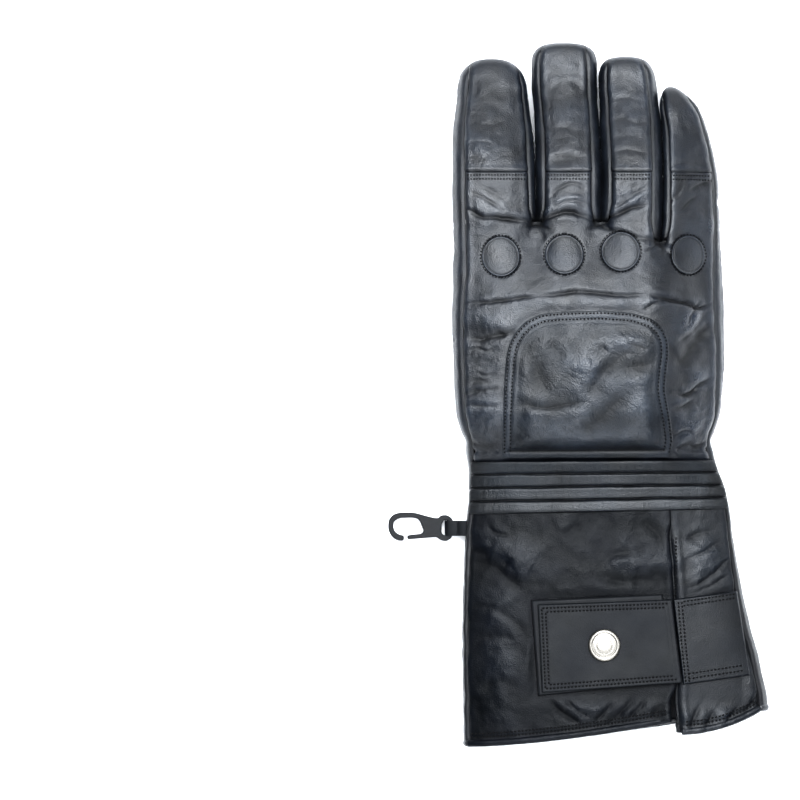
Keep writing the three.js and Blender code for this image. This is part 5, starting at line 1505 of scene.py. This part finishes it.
def thumbPlace(at, across, side):
    row = {key: along(thumbRows, key, at) for key in ("y", "left", "right", "lip", "full")}
    y = row["y"] * handLong
    x = mix(row["left"], row["right"], across) * palmWide
    share = mix(-1, 1, across)
    room = lift(x, y) - 3 * glove["gap"]
    edge = mix(row["lip"], 0.5, across)
    rise = arch(share, 2.4) * row["full"]
    reach = 1 - edge if side > 0 else -edge
    end = smooth(0.86, 1, at) - 1 + smooth(0, 0.12, at)
    z = room * (edge + reach * rise) + side * 0.05
    z = z if side > 0 else np.maximum(z - 0.3, 0)
    return x, y, np.stack([z, share, end, side * rise])


thumb = {"rows": 91, "columns": 64, "panelAt": (0.53, 0.875), "panelRows": 80, "panelRise": 0.35}


def thumbSheet(side, fromAcross=0.0, toAcross=1.0, at=None, drop=0.0):
    at = np.linspace(0, 1, int(thumb["rows"] / step))[:, None] if at is None else at
    crowd = (np.sin(np.linspace(-1, 1, thumb["columns"]) * math.pi / 2)[None] + 1) / 2
    across = mix(fromAcross, toAcross, crowd)
    at, across = np.broadcast_arrays(at, across)
    x, y, place = thumbPlace(at, across, side)
    relief = 0.25 * (1 + layers(x, y, 20, 2, 701)) - 0.06 * crinkle(x, y, 4.5, 703, 1.5, 0.9)
    relief += 0.9 * hump(at, 0.05) * np.abs(np.sin(across * 14))
    push = -relief * place[3] * side * 1.0 + drop
    points, away = pushed(x, y, place, push, lifted=False)
    points[..., 2] = np.maximum(points[..., 2], 0)
    return points, away, across, relief


def makeThumb():
    points, away, across, relief = thumbSheet(-1)
    # per-point value: painted shade in the folds and along the seam at the thumb's edge
    wearAndPaintedLight = -0.5 * relief - 1.6 * hump(across, 0.012)
    sheetPiece("thumb_palm_leather", points, away, palmNappa, ["thumb_outer"], wearAndPaintedLight)
    points, away, _, relief = thumbSheet(1)
    # per-point value: painted shade in the folds
    sheetPiece("thumb_back_leather", points, away, backNappa, ["thumb_inner"], -0.5 * relief)


def forkSeamAcross(at):
    # where the fork panel's seam crosses the thumb, as a share across it
    row = {key: along(thumbRows, key, at) for key in ("y", "left", "right")}
    line = np.array([(-0.34, 0.6), (-0.2, 0.71), (-0.09, 0.83), (-0.08, 0.9), (-0.1, 0.98), (-0.16, 1.06)])
    x = np.interp(row["y"], line[:, 1], line[:, 0])
    return np.clip((x - row["left"]) / (row["right"] - row["left"]), 0.01, 0.9)


def makeThumbGusset():
    at = np.linspace(*thumb["panelAt"], thumb["panelRows"])[:, None]
    points, away, _, relief = thumbSheet(-1, 0.0, forkSeamAcross(at), at, thumb["panelRise"])
    # per-point value: a lighter tone overall, with painted shade in the folds
    sheetPiece("thumb_gusset_leather", points, away, palmNappa, ["thumb_gusset"],
               0.5 - 0.5 * relief)


# Strap, snap and clip
def overCuff(x, y):
    x, y = together(x, y)
    return skin(x, y, 1)[0] + 0.22 * layers(x, y, 26, 2, 1)


def crowded(count):
    # places from 0 to 1, a little closer together at both ends
    t = np.linspace(-1, 1, count)
    return (np.sin(t * math.pi / 2) * 0.35 + t * 0.65 + 1) / 2


def laid(name, corners, above, thick, material, nodes, slotName, seed=0, size=0.5, grooves=()):
    # a four-cornered strap lying over the cuff; gives back its top face for what is sewn on it
    def wave(px, py):
        return 0.35 * noise(px, py, 24, seed) + 0.10 * layers(px, py, 9, 2, seed + 1)

    def surface(px, py):
        return overCuff(px, py) + above + thick + wave(px, py)

    a, b, c, d = spots(corners)
    nu = int(np.hypot(*(b - a)) / size)
    nv = int(np.hypot(*(d - a)) / size)
    u, v = crowded(nu)[None], crowded(nv)[:, None]
    x = mix(mix(a[0], b[0], u), mix(d[0], c[0], u), v)
    y = mix(mix(a[1], b[1], u), mix(d[1], c[1], u), v)
    beside = np.minimum(u, 1 - u) * np.hypot(*(b - a))
    down = np.minimum(v, 1 - v) * np.hypot(*(d - a))
    edge = np.minimum(*np.broadcast_arrays(beside, down))
    z = surface(x, y) + rolled(edge, 0.7, thick + 0.5)
    for e in grooves:
        z -= 0.12 * hump(edge - e, 0.35)
    # per-point value: painted highlight along the rolled edge, painted shade at the very edge where it turns
    # down, and a random tone
    wearAndPaintedLight = 0.5 * hump(edge - 0.6, 0.4) - 1.4 * smooth(0.35, 0, edge) + 0.2 * layers(x, y, 9, 2, seed + 1)
    points = np.stack([x, y, z], -1)
    sheetPiece(name, points, facing(x, 1), material, nodes, wearAndPaintedLight)
    return surface


def latheMesh(profile, sides):
    turn = np.linspace(0, 2 * math.pi, sides, endpoint=False)
    r, h = np.array(profile).T
    return np.stack([r[:, None] * np.cos(turn), r[:, None] * np.sin(turn), np.repeat(h[:, None], sides, 1)], -1)


snap = {
    "radius": 7.2, "spot": (603.5, 643.5), "above": 0.5, "sides": 96,
    "profile": [  # share of the radius and height, from the skirt over the raised rim to the crown
        (0.86, -1.2), (0.99, -0.6), (1.0, 0.1), (0.995, 0.45), (0.97, 0.8), (0.92, 1.08), (0.86, 1.2),
        (0.8, 1.14), (0.765, 0.98), (0.74, 0.9), (0.7, 0.95), (0.6, 1.08), (0.42, 1.24), (0.22, 1.33),
        (0.004, 1.36),
    ],
    "dimples": 24, "dimpleRing": 0.52, "dimpleDeep": 0.22, "dimpleWide": 0.34,
}


def makeSnap(surface):
    cx, cy = spot(*snap["spot"])
    r = snap["radius"]
    line = np.array(snap["profile"]) * [r, 1]
    between = [mix(p, q, t) for p, q in zip(line, line[1:]) for t in (0, 0.35, 0.7)]
    cap = latheMesh(between + [line[-1]], snap["sides"])
    # a plain ring of small pressed dimples where such caps carry their marking
    for k in range(snap["dimples"]):
        angle = k / snap["dimples"] * 2 * math.pi
        out = snap["dimpleRing"] * r
        d = np.hypot(cap[..., 0] - out * math.cos(angle), cap[..., 1] - out * math.sin(angle))
        cap[..., 2] -= snap["dimpleDeep"] * hump(d, snap["dimpleWide"])

    def seat(dx, dy):
        return float(surface(np.array([cx + dx]), np.array([cy + dy]))[0])

    tiltX, tiltY = (seat(5, 0) - seat(-5, 0)) / 10, (seat(0, 5) - seat(0, -5)) / 10
    cap[..., 2] += cap[..., 0] * tiltX + cap[..., 1] * tiltY + seat(0, 0) + snap["above"]
    cap[..., 0] += cx
    cap[..., 1] += cy
    sheetPiece("snap_button", cap, facing(cap[..., 0], 1), nickelPlate, ["snap_cap"], ring=True)


def flatCurve(name, outlines, thick, z, bevel):
    # outlines of a moulded flat part as a filled curve with rounded edges
    curve = bpy.data.curves.new(name, "CURVE")
    curve.dimensions, curve.fill_mode = "2D", "BOTH"
    for line in outlines:
        spline = curve.splines.new("POLY")
        spline.points.add(len(line) - 1)
        for point, (x, y) in zip(spline.points, line):
            point.co = (x, y, 0, 1)
        spline.use_cyclic_u = True
    curve.extrude, curve.offset = thick / 2 - bevel, -bevel
    curve.bevel_depth, curve.bevel_resolution = bevel, 3
    holder = bpy.data.objects.new(name + "_curve", curve)
    bpy.context.collection.objects.link(holder)
    bpy.context.view_layer.update()
    made = bpy.data.meshes.new_from_object(holder.evaluated_get(bpy.context.evaluated_depsgraph_get()))
    bpy.data.objects.remove(holder)
    return np.array([v.co[:] for v in made.vertices]) + [0, 0, z], [list(p.vertices) for p in made.polygons]


def rounded(points, radius, steps=5):
    # corners of a closed line turned into short arcs
    out = []
    n = len(points)
    for i in range(n):
        a, b, c = points[i - 1], points[i], points[(i + 1) % n]
        u, v = unit(a - b), unit(c - b)
        r = min(radius, np.linalg.norm(a - b) * 0.45, np.linalg.norm(c - b) * 0.45)
        p, q = b + u * r, b + v * r
        for k in range(steps + 1):
            t = k / steps
            out.append((1 - t) ** 2 * p + 2 * t * (1 - t) * b + t * t * q)
    return np.array(out)


clip = {
    "thick": 3.6, "high": 3.5, "bevel": 0.45,
    # the slotted ring, its neck and the D-shaped loop with the gap at its lower left, off the photograph
    "outer": [(453, 519), (454, 528), (452, 538), (446, 541.5), (440, 540), (437, 537), (424, 538),
              (407.5, 539.5), (407, 535.6), (412, 534.6), (421, 534), (424, 531), (419, 519), (413, 517.5),
              (400, 518), (394, 521), (393, 527), (395, 532), (400, 535), (404, 535.5), (404, 541),
              (397, 540.5), (391, 536), (388, 529), (388.5, 520), (393, 514.5), (400, 512.5), (414, 512.5),
              (430, 517), (438, 518.5), (441, 515.5), (447, 514.8)],
    "slot": [(444, 520), (448, 520.5), (449, 524), (447.5, 534), (444.5, 535.5), (441.5, 533), (442, 524)],
}


def makeHook():
    outlines = [rounded(spots(clip["outer"]), 2.2), rounded(spots(clip["slot"]), 1.2)]
    points, faces = flatCurve("hook_clip", outlines, clip["thick"], clip["high"], clip["bevel"])
    meshPiece("hook_clip", points, faces, acetal, ["hook"])


loop = {
    "half": 3.4, "thick": 1.1, "columns": 22, "between": 8,
    # way round the ring's slot: from the glove outwards over the top, and back below; x from either end
    "over": [(1.5, 9.6), (-2.0, 8.6)],
    "round": [(6.5, 6.4), (3.4, 6.0), (1.2, 5.3), (0.7, 3.6), (1.4, 1.6), (3.4, 0.7), (6.5, 0.8)],
    "under": [(-2.0, 7.0), (1.5, 8.2)],
}


def makeLoop():
    # a narrow folded strap through the ring's slot, its tail sewn in under the rib band
    low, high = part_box("hook_loop")
    x0, x1 = low[0] * 1000 - wristX, high[0] * 1000 - wristX
    yMid = (low[1] + high[1]) * 500 - wristY
    parts = (("over", x1), ("round", x0), ("under", x1))
    profile = np.concatenate([np.array(loop[part]) + [x, 0] for part, x in parts])
    shares = np.linspace(0, 1, loop["between"], endpoint=False)
    curve = np.array([mix(p, q, t) for p, q in zip(profile, profile[1:]) for t in shares])
    for _ in range(10):
        curve[1:-1] = (curve[:-2] + curve[2:] + 2 * curve[1:-1]) / 4
    v = np.linspace(-1, 1, loop["columns"])[None]
    x = np.repeat(curve[:, :1], loop["columns"], 1)
    y = yMid + loop["half"] * v + 0.15 * noise(x, 0 * x, 4, 801)
    z = np.repeat(curve[:, 1:], loop["columns"], 1) - 0.25 * (np.abs(v) ** 6)
    points = np.stack([x, y, z], -1)
    away = np.nan_to_num(np.cross(np.gradient(points, axis=0), np.array([0.0, 1.0, 0.0])))
    sheetPiece("hook_loop_strap", points, away, strapLeather, ["hook_loop"],
               lining=(loop["thick"], strapLeather))


for f in range(4):
    makeFingerTop(f)
makeBackHand()
print("back of the hand and fingers made")
for g in range(3):
    makeFourchette(g)
makeSide(-1)
makeSide(1)
print("side walls made")
for n in range(4):
    makeDisc(n)
padOuter = makePad()
makeRibs()
print("padded pieces made")
makeCuffTop("cuff_back_leather", -1, ["cuff_back"])
makeCuffTop("cuff_side_leather", 1, ["cuff_side"])
makeCuffPalm()
slitEnd = float(slitAcross(-103.0))
makeHem("hem_back_roll", "hem_back", hemPath(0.0, slitEnd - 0.024, -1), shadedCuffNappa)
makeHem("hem_side_roll", "hem_side", hemPath(slitEnd + 0.004, 1.0, 1), sideNappa)
makeHem("hem_palm_roll", "hem_palm", hemPalmPath(), palmNappa)
print("cuff made")
makePalm()
makeThumb()
makeThumbGusset()
heelLine = spots([
    (612, 290), (630, 290), (653, 298), (673, 316), (675, 341),
    (668, 373), (658, 389), (638, 386), (610, 376), (604, 340),
])
heelSeam = patchPiece("heel_patch_leather", heelLine, 0.1, 0.9, ["heel_patch"])
forkLine = [palmWide, handLong] * np.array([
    (-0.345, 0.6), (-0.352, 0.72), (-0.345, 0.84), (-0.31, 0.885),
    (-0.24, 0.89), (-0.15, 0.88), (-0.2, 0.74), (-0.28, 0.64),
])
forkSeam = patchPiece("palm_gusset_leather", forkLine, 0.1, 0.8, ["palm_gusset"])
print("palm and thumb made")
straps = {  # corners, height above the cuff, thickness
    "patch": ([(530.5, 599), (662, 593), (676, 680), (537.5, 694)], 0.5, 1.2),
    "tab": ([(537, 603), (671, 598), (681, 681), (541, 691)], 1.9, 2.0),
    "end": ([(672, 598), (737, 590), (750, 674), (682, 683)], 0.3, 1.3),
    "rows": (1.8, 3.5),  # stitch rows, in from the tab's edge
}
laid("strap_patch_leather", *straps["patch"], strapLeather, ["strap_patch"], "back_leather", seed=811, size=0.9)
tabSurface = laid("strap_tab_leather", *straps["tab"], strapLeather, ["strap_tab"], "back_leather", seed=821,
                  grooves=straps["rows"])
laid("strap_end_leather", *straps["end"], sideNappa, ["strap_end"], "back_leather", seed=831)
makeSnap(tabSurface)
makeHook()
makeLoop()
print("strap, snap and clip made")


# Seams: pairs of rows where the photograph shows them
def offsetLine(line, away):
    line = np.asarray(line, float)
    d = unit(np.gradient(line, axis=0))
    return line + np.stack([d[:, 1], -d[:, 0]], 1) * away


stitches = {  # spacing and length in millimetres
    "seam": {"pitch": 1.3, "long": 0.85},
    "knuckle": {"pitch": 1.45, "long": 0.85},
    "pad": {"pitch": 1.6, "long": 0.95},
    "strap": {"thick": 0.75},
    "knuckleOut": 0.2, "seamEnd": 1.6,
}

for f in range(4):
    x0, x1 = seamX(f, -1, seamY) + stitches["seamEnd"], seamX(f, 1, seamY) - stitches["seamEnd"]
    rows = [np.array([(x0, seamY - gap), (x1, seamY - gap)]) for gap in backHand["seamRows"]]
    sewn(f"{fingers[f]['name']}_seam_stitches", rows, onTop("back_hand_leather"), **stitches["seam"])
rings = []
for px, py, wide, long in discs:
    turn = np.linspace(0, 2 * math.pi, 60)
    cx, cy = spot(px, py)
    out = stitches["knuckleOut"]
    rings.append(np.stack([cx + (wide + out) * np.cos(turn), cy + (long + out) * np.sin(turn)], 1))
sewn("knuckle_stitches", rings, onTop("back_hand_leather"), **stitches["knuckle"])
outerRow, innerRow = [offsetLine(padOuter, row) for row in handPad["rows"]]
sewn("hand_pad_stitches", [outerRow[3:-3], innerRow[4:-4]], onTop("hand_pad", "back_hand_leather"),
     **stitches["pad"])


def rim(corners, inset, sides):
    # lines parallel to the named sides of a four-cornered strap, 0 top, 1 right, 2 bottom, 3 left
    p = spots(corners)
    shrunk = []
    for i in range(4):
        a, b, c = p[i - 1], p[i], p[(i + 1) % 4]
        u, v = unit(a - b), unit(c - b)
        shrunk.append(b + (u + v) * inset / max(abs(u[0] * v[1] - u[1] * v[0]), 0.2))
    shrunk = np.array(shrunk)
    return [np.array([shrunk[i], shrunk[(i + 1) % 4]]) for i in sides]


tabLines = [line for inset in straps["rows"] for line in rim(straps["tab"][0], inset, (0, 2, 3))]
sewn("strap_tab_stitches", tabLines, onTop("strap_tab_leather"), **stitches["strap"])
endLines = [spots(row) for row in (
    [(677.5, 600), (680.5, 640), (685, 681)], [(681, 600), (684.5, 640), (688.5, 681)],
    [(682, 600.5), (735, 593)], [(682, 604.5), (735, 597)], [(687, 672), (742, 664)], [(687, 677), (743, 669)])]
sewn("strap_end_stitches", endLines, onTop("strap_end_leather"), **stitches["strap"])
cuffLines = [spots([(675.5, 536), (675.5, 560), (675, 596)])]
under = []
for gap in cuff["hemStitch"]:
    for part, low, high in ((-1, 0.012, slitEnd - 0.04), (1, slitEnd + 0.02, 0.985), (0, 0.03, 0.97)):
        across = np.linspace(low, high, 60)
        y = hemY(across, part) + gap
        line = np.stack([betweenSeams(y, across), y], 1)
        (cuffLines if part else under).append(line)
sewn("cuff_stitches", cuffLines, onTop("cuff_back_leather", "cuff_side_leather"), **stitches["strap"])
wristAcross = np.linspace(-50, 58, 80)
under.append(np.stack([wristAcross, 0.9 * np.sin(wristAcross * 1.2) - 0.8], 1))
sewn("cuff_palm_stitches", under, onTop("cuff_palm_leather", side=-1), side=-1)
for name, seam in (("heel_patch", heelSeam), ("palm_gusset", forkSeam)):
    sewn(f"{name}_stitches", [np.concatenate([seam, seam[:1]])], onTop(f"{name}_leather", side=-1), side=-1)
seamAt = np.linspace(0.535, 0.87, 60)
seamPlace = thumbPlace(seamAt, forkSeamAcross(seamAt) - 0.03, -1)
sewn("thumb_gusset_stitches", [np.stack(seamPlace[:2], 1)],
     onTop("thumb_gusset_leather", "thumb_palm_leather", side=-1), side=-1)
print("stitching made")


# Floor, light and camera
softboxes = [  # name, place, size in metres, power in watts; those overhead face straight down
    ("softboxTop", (-0.03, 0.46, 1.25), (1.0, 0.7), 22),
    ("softboxOver", (-0.02, 0.02, 1.7), (0.9, 0.9), 12),
    ("softboxFar", (0.0, 1.3, 0.9), (1.2, 0.6), 9),
    ("softboxLow", (0.1, -0.78, 1.12), (1.2, 0.3), 6.6),
    ("softboxFront", (0.1, -1.3, 0.72), (1.2, 0.5), 8.5),
    ("softboxLeft", (-1.3, 0.1, 0.9), (0.4, 1.1), 1.7),
    ("softboxRight", (1.15, 0.1, 0.95), (0.5, 1.0), 6),
]
room = {
    "boxColour": (0.93, 0.965, 1.0), "skyColour": (0.92, 0.95, 1), "skyStrength": 0.1, "exposure": 0.35,
    "overhead": 1.2, "floorHalf": 6,
}


def stageAll():
    mesh = bpy.data.meshes.new("floor")
    half = room["floorHalf"]
    corners = [(-half, -half, 0), (half, -half, 0), (half, half, 0), (-half, half, 0)]
    mesh.from_pydata(corners, [], [(0, 1, 2, 3)])
    floor = bpy.data.objects.new("floor", mesh)
    bpy.context.collection.objects.link(floor)
    # matt white seamless paper
    paper = {"Base Color": linear("#fbfbfc"), "Roughness": 0.9}
    mesh.materials.append(finish("seamlessPaper", lambda tree: {}, paper))
    for name, at, size, power in softboxes:
        light = bpy.data.lights.new(name, "AREA")
        light.shape = "RECTANGLE"
        light.size, light.size_y = size
        light.energy = power
        light.color = room["boxColour"]
        lamp = bpy.data.objects.new(name, light)
        lamp.location = at
        if at[2] < room["overhead"]:
            lamp.rotation_euler = (-Vector(at)).to_track_quat("-Z", "Y").to_euler()
        bpy.context.collection.objects.link(lamp)
    world = bpy.data.worlds.new("room")
    world.use_nodes = True
    sky = world.node_tree.nodes["Background"]
    sky.inputs["Color"].default_value = (*room["skyColour"], 1)
    sky.inputs["Strength"].default_value = room["skyStrength"]
    scene = bpy.context.scene
    scene.world = world
    view = scene.view_settings
    view.view_transform, view.look, view.exposure = "Standard", "High Contrast", room["exposure"]


camera = {"high": 3.0, "plane": 0.015, "centre": (400, 400)}
stageAll()
eye = bpy.data.cameras.new("camera")
eyeObject = bpy.data.objects.new("camera", eye)
cx, cy = spot(*camera["centre"])
eyeObject.location = ((cx + wristX) / 1000, (cy + wristY) / 1000, camera["high"])
eye.sensor_width = 36
eye.lens = 36 * (camera["high"] - camera["plane"]) / (800 / 272 * palmWide / 1000)
eye.clip_end = 20
bpy.context.collection.objects.link(eyeObject)
bpy.context.scene.camera = eyeObject
print("scene ready")
